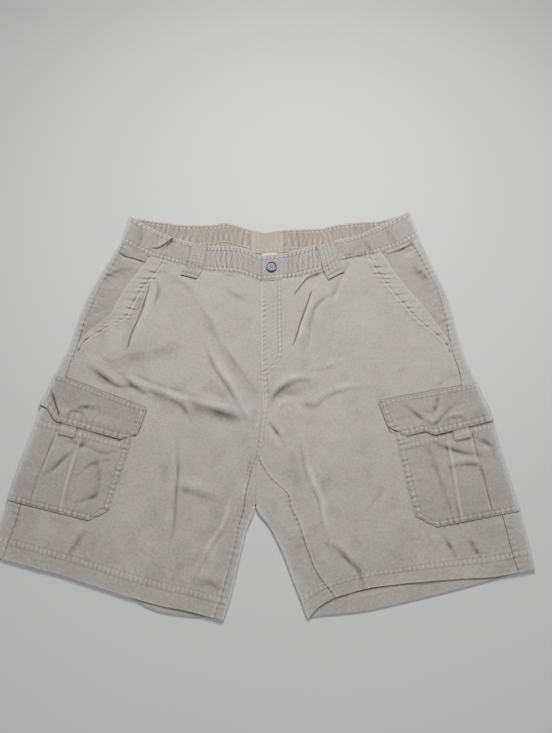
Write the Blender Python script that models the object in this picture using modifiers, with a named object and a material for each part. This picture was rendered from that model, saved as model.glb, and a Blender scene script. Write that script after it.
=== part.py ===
"""Cargo shorts laid flat, front side up.

Every piece of cloth is an open surface that Solidify turns into a wall. One map,
Leg.point(), gives the outer surface of a leg: from the inner edge over the top,
round the side fold and back under to the middle. The panels, the pockets and the
flaps are all patches of that map, each moved out by what lies under it.

Units are metres. X runs to the right with the waist away from the viewer, Y runs
to the waist, Z is up, and the cloth rests on Z = 0. Left means -X.
"""

import math

import bpy
import numpy as np
from mathutils import Vector

MM = 0.001
CENTRING = Vector((0, 1.5 * MM, 0))  # brings the middle of the outline to the origin

# Driving dimensions
CLOTH = 1.2 * MM  # wall of one panel
HEM_CLOTH = 2.0 * MM  # wall where the hem is turned up
BAND_CLOTH = 2.0 * MM  # waistband, two layers and interfacing
GAP = 0.3 * MM  # between pieces at a seam
LAY_GAP = 0.5 * MM  # between a piece and the panel that it lies on
TOP = 5.0 * MM  # outer surface of the top layer over the legs
FLY_WIDTH = 33 * MM
FLY_LENGTH = 158 * MM
FLY_RISE = 1.6 * MM  # how far the fly facing lifts the right front
MOUTH_RISE = 0.8 * MM  # front panel over the slant pocket's side piece
MOUTH_FACING = 23 * MM  # width of the raised strip along the pocket mouth
MOUTH_LAP = 14 * MM  # side piece carried on under the pocket mouth
WAIST_RISE = 1.1 * MM  # top layer towards the waistband
BAND_PROUD = 0.7 * MM  # waistband over the panel at their seam
BAND_CROWN = 0.8 * MM  # waistband's top edge over its lower edge
BAND_LAP_RISE = 2.4 * MM  # right band over the end of the left band
BAND_LAP = 26 * MM
BACK_PIECE_LEFT = 21 * MM  # centre-back piece, left and right of the middle
BACK_PIECE_RIGHT = 32 * MM
POCKET_MIDDLE = 49 * MM  # pleat, in from the side fold over the top
POCKET_WIDTH = 190 * MM
POCKET_TOP_V = 7.72
POCKET_LOW_V = 11.2
POCKET_CLIP = 26 * MM
POCKET_CLIP_V = 0.62
POCKET_PUFF = 2.6 * MM
PLEAT_WIDTH = 36 * MM
PLEAT_RISE = 0.9 * MM
FLAP_WIDTH = 200 * MM
FLAP_LOW_V = 8.0
FLAP_CLIP = 20 * MM
FLAP_CLIP_V = 0.38
TAB_WIDTH = 24 * MM
TAB_LOW_V = 8.36
UNDER_LIFT = 1.8 * MM  # bottom layer over a loop, a pocket or a flap that it lies on
LOOP_WIDTH = 27 * MM
LOOP_CLOTH = 1.2 * MM
LOOP_PUFF = 1.4 * MM
BUTTON_RADIUS = 9.2 * MM
BUTTON_THICK = 2.4 * MM
BUTTON_X = 13 * MM
SHANK_RADIUS = 3.2 * MM
SHANK_LENGTH = 1.0 * MM
LABEL_SIZE = (30 * MM, 32 * MM)
LABEL_MIDDLE = 12 * MM
LABEL_ABOVE_SEAM = 4 * MM
LABEL_CLOTH = 1.0 * MM

# One row for each section of a leg, from the waist seam to the hem, in millimetres.
# side_x, side_y: the side fold. seam: side seam, in from that fold along the section.
# mouth: the front panel's edge, in from the fold. top_x, top_y: inner end of the top
# layer, the centre seam and then the inner fold. inseam: inseam, in from that end.
# under_x, under_y: inner end of the bottom layer. rise: top layer at the side fold.
COLUMNS = "v side_x side_y seam mouth top_x top_y inseam under_x under_y rise".split()
LEFT_LEG = (
    (0.0, -237, 256, 5, 54, -4, 184, 0, 0, 235, 1.6),
    (1.0, -253, 224, 9, 52, -4, 148, 0, 0, 198, 1.2),
    (2.0, -272, 183, 10, 49, -4, 106, 0, 0, 150, 1.0),
    (3.0, -285, 149, 12, 49, -3, 67, 0, -1, 103, 1.0),
    (4.0, -293, 115, 10, 29, -2, 29, 0, -2, 60, 1.2),
    (5.0, -300, 80, 12, 13, 0, -13, 0, -3, 14, 1.8),
    (6.0, -312, 46, 15, 16, -4, -51, 0, -5, -32, 2.2),
    (7.0, -323, 7, 18, 19, -8, -88, 0, -7, -82, 2.2),
    (8.0, -334, -38, 19, 20, -9, -128, 8, -8, -127, 2.2),
    (9.0, -345, -82, 20, 21, -9, -167, 15, -9, -167, 2.0),
    (10.0, -354, -118, 20, 21, -20, -199, 12, -20, -199, 2.0),
    (11.0, -361, -153, 20, 21, -28, -232, 10, -28, -232, 1.6),
    (12.0, -367, -182, 21, 22, -35, -263, 11, -35, -263, 0.8),
    (13.0, -372, -209, 20, 21, -42, -292, 12, -42, -292, 0.4),
    (14.0, -376, -235, 19, 20, -50, -317, 13, -50, -317, 0.4),
)
RIGHT_LEG = (
    (0.0, 258, 266, 15, 68, -4, 184, 0, 0, 235, 1.6),
    (1.0, 272, 224, 11, 62, -4, 148, 0, 0, 198, 1.2),
    (2.0, 286, 186, 11, 55, -4, 106, 0, 0, 150, 1.0),
    (3.0, 296, 152, 12, 43, -3, 67, 0, -1, 103, 1.0),
    (4.0, 302, 117, 13, 29, -2, 29, 0, -2, 60, 1.2),
    (5.0, 307, 81, 16, 17, 0, -13, 0, -3, 14, 1.8),
    (6.0, 316, 42, 17, 18, -4, -51, 0, -5, -32, 2.2),
    (7.0, 328, 4, 24, 25, -8, -88, 0, -7, -82, 2.2),
    (8.0, 340, -40, 25, 26, -9, -128, 17, -8, -127, 2.2),
    (9.0, 350, -98, 25, 26, -9, -167, 48, -9, -167, 2.0),
    (10.0, 357, -134, 25, 26, 11, -197, 40, 11, -197, 2.0),
    (11.0, 364, -168, 26, 27, 28, -230, 34, 28, -230, 1.6),
    (12.0, 370, -197, 27, 28, 40, -260, 33, 40, -260, 0.8),
    (13.0, 374, -226, 27, 28, 52, -290, 35, 52, -290, 0.4),
    (14.0, 376, -252, 23, 24, 61, -314, 39, 61, -314, 0.4),
)
CROTCH_V = 7.0  # the four panels meet here on the top layer
APEX_V = 9.0  # the gap between the legs starts here
HEM_V = 14.0

# The waist seam and the waistband over it, from the side fold (share 0) to the middle
# (share 1), in millimetres. hang: how far the seam hangs below its straight line.
# lean and depth: from the band's lower edge to its top edge, across and up.
WAIST_COLUMNS = (
    "share left_hang right_hang left_under right_under "
    "left_lean left_depth right_lean right_depth under_lean under_depth"
).split()
WAIST = (
    (0.00, 0, 0, 0, 0, 10, 49, -12, 48, 11, 48),
    (0.10, 6, 7, -2, 2, 14, 44, -17, 45, 6, 45),
    (0.25, 11, 9, -3, 3, 17, 41, -12, 42, 2, 42),
    (0.40, 10, 5, -1, 1, 13, 40, -8, 36, 0, 42),
    (0.50, 9, 3, -2, 1, 9, 41, -8, 36, 0, 42),
    (0.62, 8, 11, -5, 5, 5, 44, -9, 45, 0, 42),
    (0.73, 2, 11, -11, 3, 2, 46, 0, 49, 0, 42),
    (0.86, -3, 7, -5, 0, 0, 47, 0, 45, 0, 41),
    (1.00, 0, 0, 0, 0, 0, 44, 0, 44, 0, 40),
)

# How far each hem hangs below the straight line between its two ends, in millimetres.
HEM_COLUMNS = "share left_hang left_under right_hang right_under".split()
HEM = (
    (0.00, 0, 0, 0, 0),
    (0.15, -1, 0, -1, 2),
    (0.30, -1, 0, -7, 4),
    (0.45, 1, 1, -13, 6),
    (0.60, 3, 4, -18, 7),
    (0.73, 3, 11, -21, 7),
    (0.86, 0, 7, -19, 4),
    (0.94, 0, 2, -13, 1),
    (1.00, 0, 0, 0, 0),
)

# Folds of the top layer: start, middle and end in millimetres, then how far each
# stands up (minus for a trough) and how wide it is.
FOLDS = (
    # x0, y0, x1, y1, x2, y2, height, width
    (-176, 192, -184, 135, -200, 74, 2.6, 11),
    (-196, 176, -208, 130, -220, 78, -1.6, 10),
    (-142, 192, -120, 172, -95, 152, 1.6, 13),
    (-104, 150, -82, 118, -64, 84, 1.6, 14),
    (-88, 84, -66, 40, -22, -42, 3.0, 12),
    (-268, 52, -236, 26, -186, 18, 2.4, 12),
    (-262, 34, -232, 8, -190, 0, -1.6, 11),
    (-186, 14, -148, 4, -110, -22, 2.4, 12),
    (-116, -4, -78, -16, -26, -32, 3.4, 12),
    (-114, -26, -78, -38, -30, -50, -1.8, 12),
    (-128, -70, -128, -148, -132, -216, 2.6, 11),
    (-120, -130, -94, -138, -66, -146, 1.6, 11),
    (-32, -140, -56, -206, -94, -266, 2.8, 13),
    (-90, -256, -74, -258, -60, -260, 1.6, 10),
    (-270, -216, -256, -204, -240, -194, 1.4, 12),
    (100, 208, 74, 192, 50, 158, 2.2, 13),
    (82, 170, 62, 120, 46, 72, 2.6, 11),
    (118, 168, 88, 142, 74, 82, 2.4, 13),
    (142, 222, 122, 184, 106, 140, 1.6, 13),
    (10, 2, 34, 20, 70, 30, 2.2, 12),
    (10, -14, 32, -4, 66, 8, -1.6, 11),
    (14, -38, 36, -22, 60, -34, 2.4, 11),
    (76, 30, 96, 36, 118, 44, 1.6, 13),
    (64, -14, 96, -4, 158, 12, 2.0, 12),
    (254, 6, 262, 14, 274, 26, 1.6, 10),
    (6, -50, 18, -66, 34, -84, 2.0, 10),
    (52, -72, 78, -150, 94, -214, 3.0, 14),
    (90, -206, 112, -222, 138, -246, 1.8, 11),
    (192, -106, 170, -150, 140, -184, 2.2, 17),
    (150, 120, 190, 90, 226, 40, 1.4, 18),
)

# Colours and finish
TWILL = (0.44, 0.41, 0.36, 1)
BAND_TWILL = (0.45, 0.40, 0.33, 1)
LABEL_WHITE = (0.82, 0.82, 0.80, 1)
BUTTON_METAL = (0.34, 0.37, 0.42, 1)

for old in list(bpy.data.objects):
    bpy.data.objects.remove(old)
garment = bpy.data.collections.new("cargo_shorts")
bpy.context.scene.collection.children.link(garment)


def material(name, colour, roughness, metallic=0.0):
    made = bpy.data.materials.new(name)
    made.use_nodes = True
    shader = made.node_tree.nodes["Principled BSDF"]
    shader.inputs["Base Color"].default_value = colour
    shader.inputs["Roughness"].default_value = roughness
    shader.inputs["Metallic"].default_value = metallic
    return made


def column(rows, names, name, at):
    """A column of a table, read between its rows along a curve without overshoot."""
    keys = np.array([row[0] for row in rows], float)
    values = np.array([row[names.index(name)] for row in rows], float)
    steps = np.diff(keys)
    slopes = np.diff(values) / steps
    tangents = np.zeros(len(keys))
    for i in range(1, len(keys) - 1):
        if slopes[i - 1] * slopes[i] > 0:
            near, far = 2 * steps[i] + steps[i - 1], steps[i] + 2 * steps[i - 1]
            tangents[i] = (near + far) / (near / slopes[i - 1] + far / slopes[i])
    tangents[0], tangents[-1] = slopes[0], slopes[-1]
    i = int(np.clip(np.searchsorted(keys, at) - 1, 0, len(steps) - 1))
    t = (at - keys[i]) / steps[i]
    return float(
        values[i] * (1 + 2 * t) * (1 - t) ** 2
        + steps[i] * tangents[i] * t * (1 - t) ** 2
        + values[i + 1] * t * t * (3 - 2 * t)
        + steps[i] * tangents[i + 1] * t * t * (t - 1)
    )


def ease(a, b, x):
    """0 at a, 1 at b, with soft ends."""
    t = min(1.0, max(0.0, (x - a) / (b - a)))
    return t * t * (3 - 2 * t)


def fold_height(x, y):
    """How far the folds raise the top layer at a point, all in metres."""
    total = 0.0
    for x0, y0, x1, y1, x2, y2, height, width in FOLDS:
        if abs(x / MM - x1) > 130 or abs(y / MM - y1) > 130:
            continue
        near, along = 1e9, 0.0
        ends = ((x0, y0), (x1, y1), (x2, y2))
        for k, ((ax, ay), (bx, by)) in enumerate(zip(ends, ends[1:])):
            dx, dy = bx - ax, by - ay
            t = ((x / MM - ax) * dx + (y / MM - ay) * dy) / (dx * dx + dy * dy)
            t = min(1.0, max(0.0, t))
            away = math.hypot(x / MM - ax - t * dx, y / MM - ay - t * dy)
            if away < near:
                near, along = away, (k + t) / 2
        taper = math.sin(math.pi * (0.12 + 0.76 * along))
        total += height * MM * taper * math.exp(-((near / width) ** 2))
    return total


class Leg:
    """One leg's outer surface, as sections read from its table."""

    def __init__(self, side):
        self.side = side
        self.sign = -1 if side == "left" else 1
        self.rows = LEFT_LEG if side == "left" else RIGHT_LEG
        self.kept = {}

    def read(self, v):
        """A section: its table values in metres, and the spans worked out from them."""
        key = round(v, 5)
        if key not in self.kept:
            row = {n: column(self.rows, COLUMNS, n, v) * MM for n in COLUMNS[1:]}
            side = Vector((row["side_x"], row["side_y"], 0))
            for layer in ("top", "under"):
                end = Vector((row[layer + "_x"], row[layer + "_y"], 0))
                row[layer + "_way"] = (end - side).normalized()
                row[layer + "_long"] = (end - side).length - GAP / 2
            row["side"] = side
            row["lift"] = lift(v)
            row["side_z"] = self.base_z(row, v, 0)
            row["fold"] = (row["side_z"] - row["lift"]) / 2
            row["inner_fold"] = self.base_z(row, v, row["top_long"]) / 2 if v >= APEX_V else 0
            row["bend"] = math.pi * row["fold"]
            row["top_span"] = row["top_long"] - row["fold"] - row["inner_fold"]
            row["under_span"] = row["under_long"] - row["fold"] - row["inner_fold"]
            self.kept[key] = row
        return self.kept[key]

    def base_z(self, row, v, inward):
        """Outer surface of the top layer without its folds."""
        near = 1 - ease(20 * MM, 120 * MM, inward)
        return TOP + row["rise"] * (0.45 + 0.55 * near) + WAIST_RISE * (1 - ease(0, 1.1, v))

    def hang(self, v, share, layer):
        """How far a section hangs below its straight line, share of the way in."""
        waist = 1 - ease(0, 2.6, v)
        hem = ease(11.5, HEM_V, v)
        names = (f"{self.side}_hang", f"{self.side}_under")
        name = names[0] if layer == "top" else names[1]
        total = 0.0
        if waist > 0:
            total += waist * column(WAIST, WAIST_COLUMNS, name, share)
        if hem > 0:
            total += hem * column(HEM, HEM_COLUMNS, name, share)
        return total * MM

    def cover(self, v, inward):
        """1 under the cargo pocket and its flap, 0 clear of them."""
        far = POCKET_MIDDLE + FLAP_WIDTH / 2 + 6 * MM
        rows = ease(5.3, 6.1, v) * (1 - ease(11.4, 12.2, v))
        return rows * (1 - ease(far, far + 24 * MM, inward))

    def fly_rise(self, v, x, y):
        """The right front's rise over the fly facing."""
        across = x - self.read(v)["top_x"]
        down = self.read(0)["top_y"] - y
        side = 1 - ease(FLY_WIDTH, FLY_WIDTH + 12 * MM, across)
        end = 1 - ease(FLY_LENGTH, FLY_LENGTH + 14 * MM, down)
        return FLY_RISE * side * end

    def top_z(self, v, x, y, inward, outward):
        row = self.read(v)
        calm = 1 - self.cover(v, inward)
        edges = ease(0, 26 * MM, inward) * ease(0, 22 * MM, outward)
        ends = ease(0, 0.9, v) * (1 - 0.6 * ease(13.0, HEM_V, v))
        z = self.base_z(row, v, inward) + fold_height(x, y) * calm * edges * ends
        if self.side == "right" and v < CROTCH_V:
            z += self.fly_rise(v, x, y)
        return z

    def point(self, v, s, out=0.0):
        """The outer surface at section v, s in from the side fold over the top.

        Negative s goes round the fold and back under. out moves it off the surface.
        """
        row = self.read(v)
        radius = row["fold"]
        if s >= 0:
            place = row["side"] + row["top_way"] * (s + radius)
            place.y -= self.hang(v, min(1.0, s / row["top_span"]), "top")
            outward = max(0.0, row["top_span"] - s)
            return Vector((place.x, place.y, self.top_z(v, place.x, place.y, s, outward) + out))
        if s > -row["bend"]:
            turn = -s / radius
            inset = radius - (radius + out) * math.sin(turn)
            place = row["side"] + row["top_way"] * inset
            return Vector((place.x, place.y, row["lift"] + radius + (radius + out) * math.cos(turn)))
        run = -s - row["bend"]
        place = row["side"] + row["under_way"] * (run + radius)
        place.y -= self.hang(v, min(1.0, run / row["under_span"]), "under")
        pocket = 1 - ease(POCKET_WIDTH * 0.36, POCKET_WIDTH * 0.55, run)
        share = pocket if v > 2 else 1.0
        return Vector((place.x, place.y, row["lift"] * share - out))

    def inner_fold_point(self, v, turn):
        """The inner fold below the gap's start: turn 0 is on top, pi underneath."""
        row = self.read(v)
        radius = row["inner_fold"]
        reach = row["top_long"] - radius + radius * math.sin(turn)
        place = row["side"] + row["top_way"] * reach
        return Vector((place.x, place.y, radius + radius * math.cos(turn)))

    def from_fold(self, v, inset):
        """s of a line that lies inset from the side fold on the top layer."""
        return inset - self.read(v)["fold"]


def lift(v):
    """How far the bottom layer is held up by what lies under it at the side."""
    loops = 1 - ease(0.5, 1.2, v)
    pocket = ease(6.1, 6.5, v) * (1 - ease(11.3, 11.8, v))
    flap_on_pocket = ease(7.2, 7.6, v) * (1 - ease(8.05, 8.4, v))
    return UNDER_LIFT * (loops + pocket + flap_on_pocket)


def spread(start, end, count):
    return [start + (end - start) * i / count for i in range(count + 1)]


def cloth(name, rows, thickness, finish, flip=False, hem_rows=None):
    """A wall of cloth: quads between rows of points, thickened inwards.

    A row may hold None where the cloth is absent. hem_rows are thick, others thin.
    """
    mesh = bpy.data.meshes.new(name)
    places, numbers = [], {}
    for r, row in enumerate(rows):
        for c, place in enumerate(row):
            if place is not None:
                numbers[r, c] = len(places)
                places.append(place + CENTRING)
    faces = []
    for r in range(len(rows) - 1):
        for c in range(len(rows[r]) - 1):
            corners = [(r, c), (r, c + 1), (r + 1, c + 1), (r + 1, c)]
            if all(k in numbers for k in corners):
                ring = [numbers[k] for k in corners]
                faces.append(ring[::-1] if flip else ring)
    mesh.from_pydata(places, [], faces)
    mesh.shade_smooth()
    mesh.materials.append(finish)
    made = bpy.data.objects.new(name, mesh)
    garment.objects.link(made)
    wall = made.modifiers.new("wall", "SOLIDIFY")
    wall.thickness = thickness
    wall.offset = -1
    if hem_rows is not None:
        group = made.vertex_groups.new(name="hem")
        group.add([n for (r, c), n in numbers.items() if r in hem_rows], 1.0, "ADD")
        wall.vertex_group = group.name
        wall.thickness_vertex_group = CLOTH / thickness
    return made


twill = material("cotton_twill", TWILL, 0.9)
band_twill = material("waistband_twill", BAND_TWILL, 0.9)
white = material("label_tape", LABEL_WHITE, 0.8)
metal = material("button_metal", BUTTON_METAL, 0.35, 1.0)
left, right = Leg("left"), Leg("right")
legs = (left, right)

PANEL_ROWS = spread(0.0, CROTCH_V, 13) + [7.5, 8.0, 8.5] + spread(APEX_V, 13.0, 9) + [13.5, HEM_V]
HEM_ROWS = range(len(PANEL_ROWS) - 3, len(PANEL_ROWS))
FRONT_COLUMNS = 22
UNDER_COLUMNS = 8


def seam_gap(v):
    """Panels stop this far short of the waist seam, in sections."""
    return 0.022 if v == 0 else v


def mouth_s(leg, v):
    return leg.from_fold(v, leg.read(v)["mouth"])


def front_panel(leg):
    """The front of one leg, from the pocket mouth and side seam to the centre and inseam."""
    rows = []
    for v in map(seam_gap, PANEL_ROWS):
        row = leg.read(v)
        start = mouth_s(leg, v) + GAP / 2
        end = row["top_span"] + row["inner_fold"] - row["inseam"] - GAP / 2
        open_mouth = 1 - ease(4.3, 5.0, v)
        points = []
        for s in spread(start, end, FRONT_COLUMNS):
            raised = MOUTH_RISE * open_mouth * (1 - ease(MOUTH_FACING, MOUTH_FACING + 8 * MM, s - start))
            points.append(leg.point(v, s, raised))
        rows.append(points)
    flip = leg.side == "left"
    return cloth(f"front_{leg.side}", rows, HEM_CLOTH, twill, flip, HEM_ROWS)


def back_panel(leg):
    """The back of one leg: side strip, side fold, bottom layer, inner fold, inner strip."""
    rows = []
    for v in map(seam_gap, PANEL_ROWS):
        row = leg.read(v)
        seam = max(leg.from_fold(v, row["seam"]), 1.2 * MM) - GAP / 2
        points = [leg.point(v, s) for s in spread(seam, 0, 2)]
        points += [leg.point(v, s) for s in spread(0, -row["bend"], 5)[1:]]
        low_end = -row["bend"] - row["under_span"]
        points += [leg.point(v, s) for s in spread(-row["bend"], low_end, UNDER_COLUMNS)[1:]]
        joined = v >= APEX_V
        turns = spread(math.pi, 0, 5)[1:-1]
        points += [leg.inner_fold_point(v, t) if joined else None for t in turns]
        inner = row["top_span"]
        inseam = inner + row["inner_fold"] - row["inseam"] + GAP / 2
        shown = v > CROTCH_V
        points += [leg.point(v, s) if shown else None for s in spread(inner, inseam, 2)]
        rows.append(points)
    flip = leg.side == "right"
    return cloth(f"back_{leg.side}", rows, HEM_CLOTH, twill, flip, HEM_ROWS)


for leg in legs:
    front_panel(leg)
    back_panel(leg)


def pocket_side(leg):
    """The cloth seen in the slant pocket's mouth, from the side seam to under the front."""
    rows = []
    for v in map(seam_gap, spread(0, 4.8, 12)):
        row = leg.read(v)
        seam = max(leg.from_fold(v, row["seam"]), 1.2 * MM) + GAP * 1.5
        mouth = mouth_s(leg, v)
        under = -(CLOTH + LAY_GAP)
        at_seam = under * (1 - ease(3 * MM, 18 * MM, mouth - seam))
        points = [leg.point(v, seam, at_seam)]
        for share in (0.35, 0.7):
            drop = at_seam + (under - at_seam) * share**2
            points.append(leg.point(v, seam + (mouth - seam) * share, drop))
        points += [leg.point(v, mouth + lap, under) for lap in (-0.4 * MM, MOUTH_LAP)]
        rows.append(points)
    return cloth(f"pocket_side_{leg.side}", rows, CLOTH, twill, leg.side == "left")


for leg in legs:
    pocket_side(leg)


def fly_facing():
    """The facing behind the fly, under the right front, with its curved lower end."""
    rows = []
    top = right.read(0)["top_y"]
    for v in [0.03, 0.6, 1.2, 1.8, 2.4, 2.9, 3.25, 3.5, 3.7, 3.85, 3.95]:
        row = right.read(v)
        down = top - row["top_y"]
        past = max(0.0, down - (FLY_LENGTH - FLY_WIDTH)) / FLY_WIDTH
        width = (FLY_WIDTH - MM) * math.sqrt(max(0.03, 1 - past * past))
        end = row["top_span"] - MM
        rows.append([right.point(v, s, -CLOTH - LAY_GAP) for s in spread(end - width, end, 3)])
    return cloth("fly_facing", rows, CLOTH, twill)


fly_facing()


def waist(leg, name, share):
    return column(WAIST, WAIST_COLUMNS, name, min(1.0, max(0.0, share))) * MM


def lap_rise(x):
    """The right band's rise over the end of the left band."""
    across = x - LEFT_LEG[0][COLUMNS.index("top_x")] * MM
    return BAND_LAP_RISE * (1 - ease(BAND_LAP, BAND_LAP + 22 * MM, across))


def band_point(leg, s, up, out=0.0):
    """The waistband's outer surface: up is 0 at its lower edge and 1 at its top edge."""
    row = leg.read(0)
    low = leg.point(0, s, 0)
    if s >= 0:
        share = s / row["top_span"]
        lean = waist(leg, f"{leg.side}_lean", share)
        depth = waist(leg, f"{leg.side}_depth", share)
        rise = BAND_PROUD + BAND_CROWN * up + out
        if leg.side == "right":
            rise += lap_rise(low.x) - leg.fly_rise(0, low.x, low.y)
        return low + Vector((lean * up, depth * up, rise))
    run = -s - row["bend"]
    if run <= 0:
        turn = -s / row["fold"]
        lean = waist(leg, f"{leg.side}_lean", 0)
        depth = waist(leg, f"{leg.side}_depth", 0)
        proud = (BAND_PROUD + BAND_CROWN * up) * (1 - turn / math.pi)
        low = leg.point(0, s, out)
        return low + Vector((lean * up, depth * up, proud))
    share = run / row["under_span"]
    side_lean = waist(leg, f"{leg.side}_lean", 0)
    lean = side_lean * waist(leg, "under_lean", share) / waist(leg, "under_lean", 0)
    depth = waist(leg, "under_depth", share)
    return low + Vector((lean * up, depth * up, -out))


BAND_UPS = (0.01, 0.2, 0.8, 1.0)


def band_stations(leg, end_share):
    row = leg.read(0)
    front = spread(row["top_span"], 0, 15)
    round_fold = spread(0, -row["bend"], 5)[1:]
    shares = [i / UNDER_COLUMNS for i in range(1, UNDER_COLUMNS + 1)]
    shares = [share for share in shares if share < end_share - 0.02] + [end_share]
    return front + round_fold + [-row["bend"] - row["under_span"] * share for share in shares]


def back_share(leg, x):
    """Share of the bottom layer's waist seam at which it reaches x."""
    row = leg.read(0)
    run = (row["side_x"] - x) / -row["under_way"].x - row["fold"]
    return run / row["under_span"]


def waistband(leg):
    """One strip from the fly round the side to the centre-back piece."""
    edge = -BACK_PIECE_LEFT - GAP / 2 if leg.side == "left" else BACK_PIECE_RIGHT + GAP / 2
    rows = []
    if leg.side == "left":
        span = right.read(0)["top_span"]
        start = left.point(0, left.read(0)["top_span"]).z + BAND_PROUD
        for lap in (BAND_LAP, BAND_LAP / 2):
            row = [band_point(right, span - lap, up) for up in BAND_UPS]
            for place, up in zip(row, BAND_UPS):
                place.z = start + BAND_CROWN * up
            rows.append(row)
    for s in band_stations(leg, back_share(leg, edge)):
        rows.append([band_point(leg, s, up) for up in BAND_UPS])
    return cloth(f"waistband_{leg.side}", rows, BAND_CLOTH, band_twill, leg.side == "right")


for leg in legs:
    waistband(leg)


def waistband_centre_back():
    rows = []
    for x in spread(-BACK_PIECE_LEFT + GAP / 2, BACK_PIECE_RIGHT - GAP / 2, 4):
        leg = left if x < 0 else right
        row = leg.read(0)
        s = -row["bend"] - row["under_span"] * back_share(leg, x)
        rows.append([band_point(leg, s, up) for up in BAND_UPS])
    return cloth("waistband_centre_back", rows, BAND_CLOTH, band_twill)


waistband_centre_back()


def pocket_span(leg, width, v, low_v, clip, clip_v):
    """Both side edges at section v, drawn in where the lower corners are clipped."""
    drawn = clip * max(0.0, (v - (low_v - clip_v)) / clip_v)
    return POCKET_MIDDLE - width / 2 + drawn, POCKET_MIDDLE + width / 2 - drawn


def lying_columns(leg, v, start, end, inner):
    """Places across a piece that wraps the side fold, at its bends and pleat lines."""
    bend = leg.read(v)["bend"]
    under = spread(start, -bend, 2)[:-1]
    fold = spread(-bend, 0, 5)
    over = [s for s in inner if 0 < s < end]
    return under + fold + over + [end]


HALF_PLEAT = PLEAT_WIDTH / 2
PLEAT_STEP = 1.5 * MM
LYING_INNER = (
    14 * MM,
    POCKET_MIDDLE - HALF_PLEAT - PLEAT_STEP,
    POCKET_MIDDLE - HALF_PLEAT,
    POCKET_MIDDLE,
    POCKET_MIDDLE + HALF_PLEAT,
    POCKET_MIDDLE + HALF_PLEAT + PLEAT_STEP,
    88 * MM,
    108 * MM,
)


def pocket_out(s, v):
    """A cargo pocket's outer surface over the panel: it puffs a little, its pleat more."""
    out = LAY_GAP + CLOTH
    if s > 0:
        across = math.sin(math.pi * min(1.0, s / (POCKET_MIDDLE + POCKET_WIDTH / 2)))
        down = (v - POCKET_TOP_V) / (POCKET_LOW_V - POCKET_TOP_V)
        out += POCKET_PUFF * max(0.0, across) ** 0.8 * math.sin(math.pi * (0.25 + 0.75 * down))
        on_pleat = abs(s - POCKET_MIDDLE) <= HALF_PLEAT + 0.1 * MM
        out += PLEAT_RISE * on_pleat * ease(8.0, 8.3, v) * (1 - ease(10.8, POCKET_LOW_V, v))
    return out


def flap_out(s, v):
    """A flap's outer surface over the panel: its lower part lies on the pocket."""
    return LAY_GAP + CLOTH + ease(7.25, 7.68, v) * pocket_out(s, max(v, POCKET_TOP_V))


def cargo_pocket(leg):
    rows = []
    clip_start = POCKET_LOW_V - POCKET_CLIP_V
    for v in spread(POCKET_TOP_V, clip_start, 7) + spread(clip_start, POCKET_LOW_V, 2)[1:]:
        start, end = pocket_span(leg, POCKET_WIDTH, v, POCKET_LOW_V, POCKET_CLIP, POCKET_CLIP_V)
        places = lying_columns(leg, v, start, end, LYING_INNER)
        rows.append([leg.point(v, s, pocket_out(s, v)) for s in places])
    return cloth(f"cargo_pocket_{leg.side}", rows, CLOTH, twill, leg.side == "left")


FLAP_TOP_V = {"left": (6.5, 6.72), "right": (6.78, 6.42)}  # at the fold, at the inner end


def cargo_flap(leg):
    full = POCKET_MIDDLE + FLAP_WIDTH / 2
    rows = []
    at_fold, at_end = FLAP_TOP_V[leg.side]
    for down in (0.0, 0.2, 0.4, 0.55, 0.7, 0.85, 1.0):
        points = []
        v_mid = at_fold + (FLAP_LOW_V - at_fold) * down
        start, end = pocket_span(leg, FLAP_WIDTH, v_mid, FLAP_LOW_V, FLAP_CLIP, FLAP_CLIP_V)
        for s in lying_columns(leg, v_mid, start, end, LYING_INNER):
            top_v = at_fold + (at_end - at_fold) * max(0.0, s / full)
            v = top_v + (FLAP_LOW_V - top_v) * down
            points.append(leg.point(v, s, flap_out(s, v)))
        rows.append(points)
    return cloth(f"cargo_flap_{leg.side}", rows, CLOTH, twill, leg.side == "left")


def flap_tab(leg):
    """The pull tab sewn behind the flap's lower edge."""
    rows = []
    for v in (FLAP_LOW_V + 0.02, FLAP_LOW_V + 0.18, TAB_LOW_V):
        start, end = POCKET_MIDDLE - TAB_WIDTH / 2, POCKET_MIDDLE + TAB_WIDTH / 2
        rows.append([leg.point(v, s, flap_out(s, v)) for s in spread(start, end, 2)])
    return cloth(f"flap_tab_{leg.side}", rows, CLOTH, twill, leg.side == "left")


for leg in legs:
    cargo_pocket(leg)
    cargo_flap(leg)
    flap_tab(leg)

# Belt loops: the leg, how far along the waist seam, whether on the top layer.
LOOPS = {
    "belt_loop_front_left": (left, 0.53, True),
    "belt_loop_front_right": (right, 0.56, True),
    "belt_loop_back_left": (left, 0.17, False),
    "belt_loop_back_right": (right, 0.17, False),
    "belt_loop_centre_back": (right, 0.98, False),
}


def belt_loop(name, leg, share, on_top):
    """A folded strip sewn over the band's top edge and just below its lower edge."""
    row = leg.read(0)
    span = row["top_span"] if on_top else -row["under_span"]
    middle = span * share - (0 if on_top else row["bend"])
    rows = []
    for below, up in ((0.42, 0), (0.2, 0), (0, 0.03), (0, 0.3), (0, 0.6), (0, 0.85), (0, 1.01)):
        points = []
        for s in spread(middle - LOOP_WIDTH / 2, middle + LOOP_WIDTH / 2, 2):
            out = LAY_GAP + LOOP_CLOTH
            if on_top:
                out += LOOP_PUFF * math.sin(math.pi * min(1.0, up + below * 1.2))
            if below:
                step = BAND_PROUD * 0.9 if on_top else 0
                points.append(leg.point(below, s, out + step))
            else:
                points.append(band_point(leg, s, up, out))
        rows.append(points)
    return cloth(name, rows, LOOP_CLOTH, twill, leg.side == "right")


for name, (leg, share, on_top) in LOOPS.items():
    belt_loop(name, leg, share, on_top)


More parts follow.
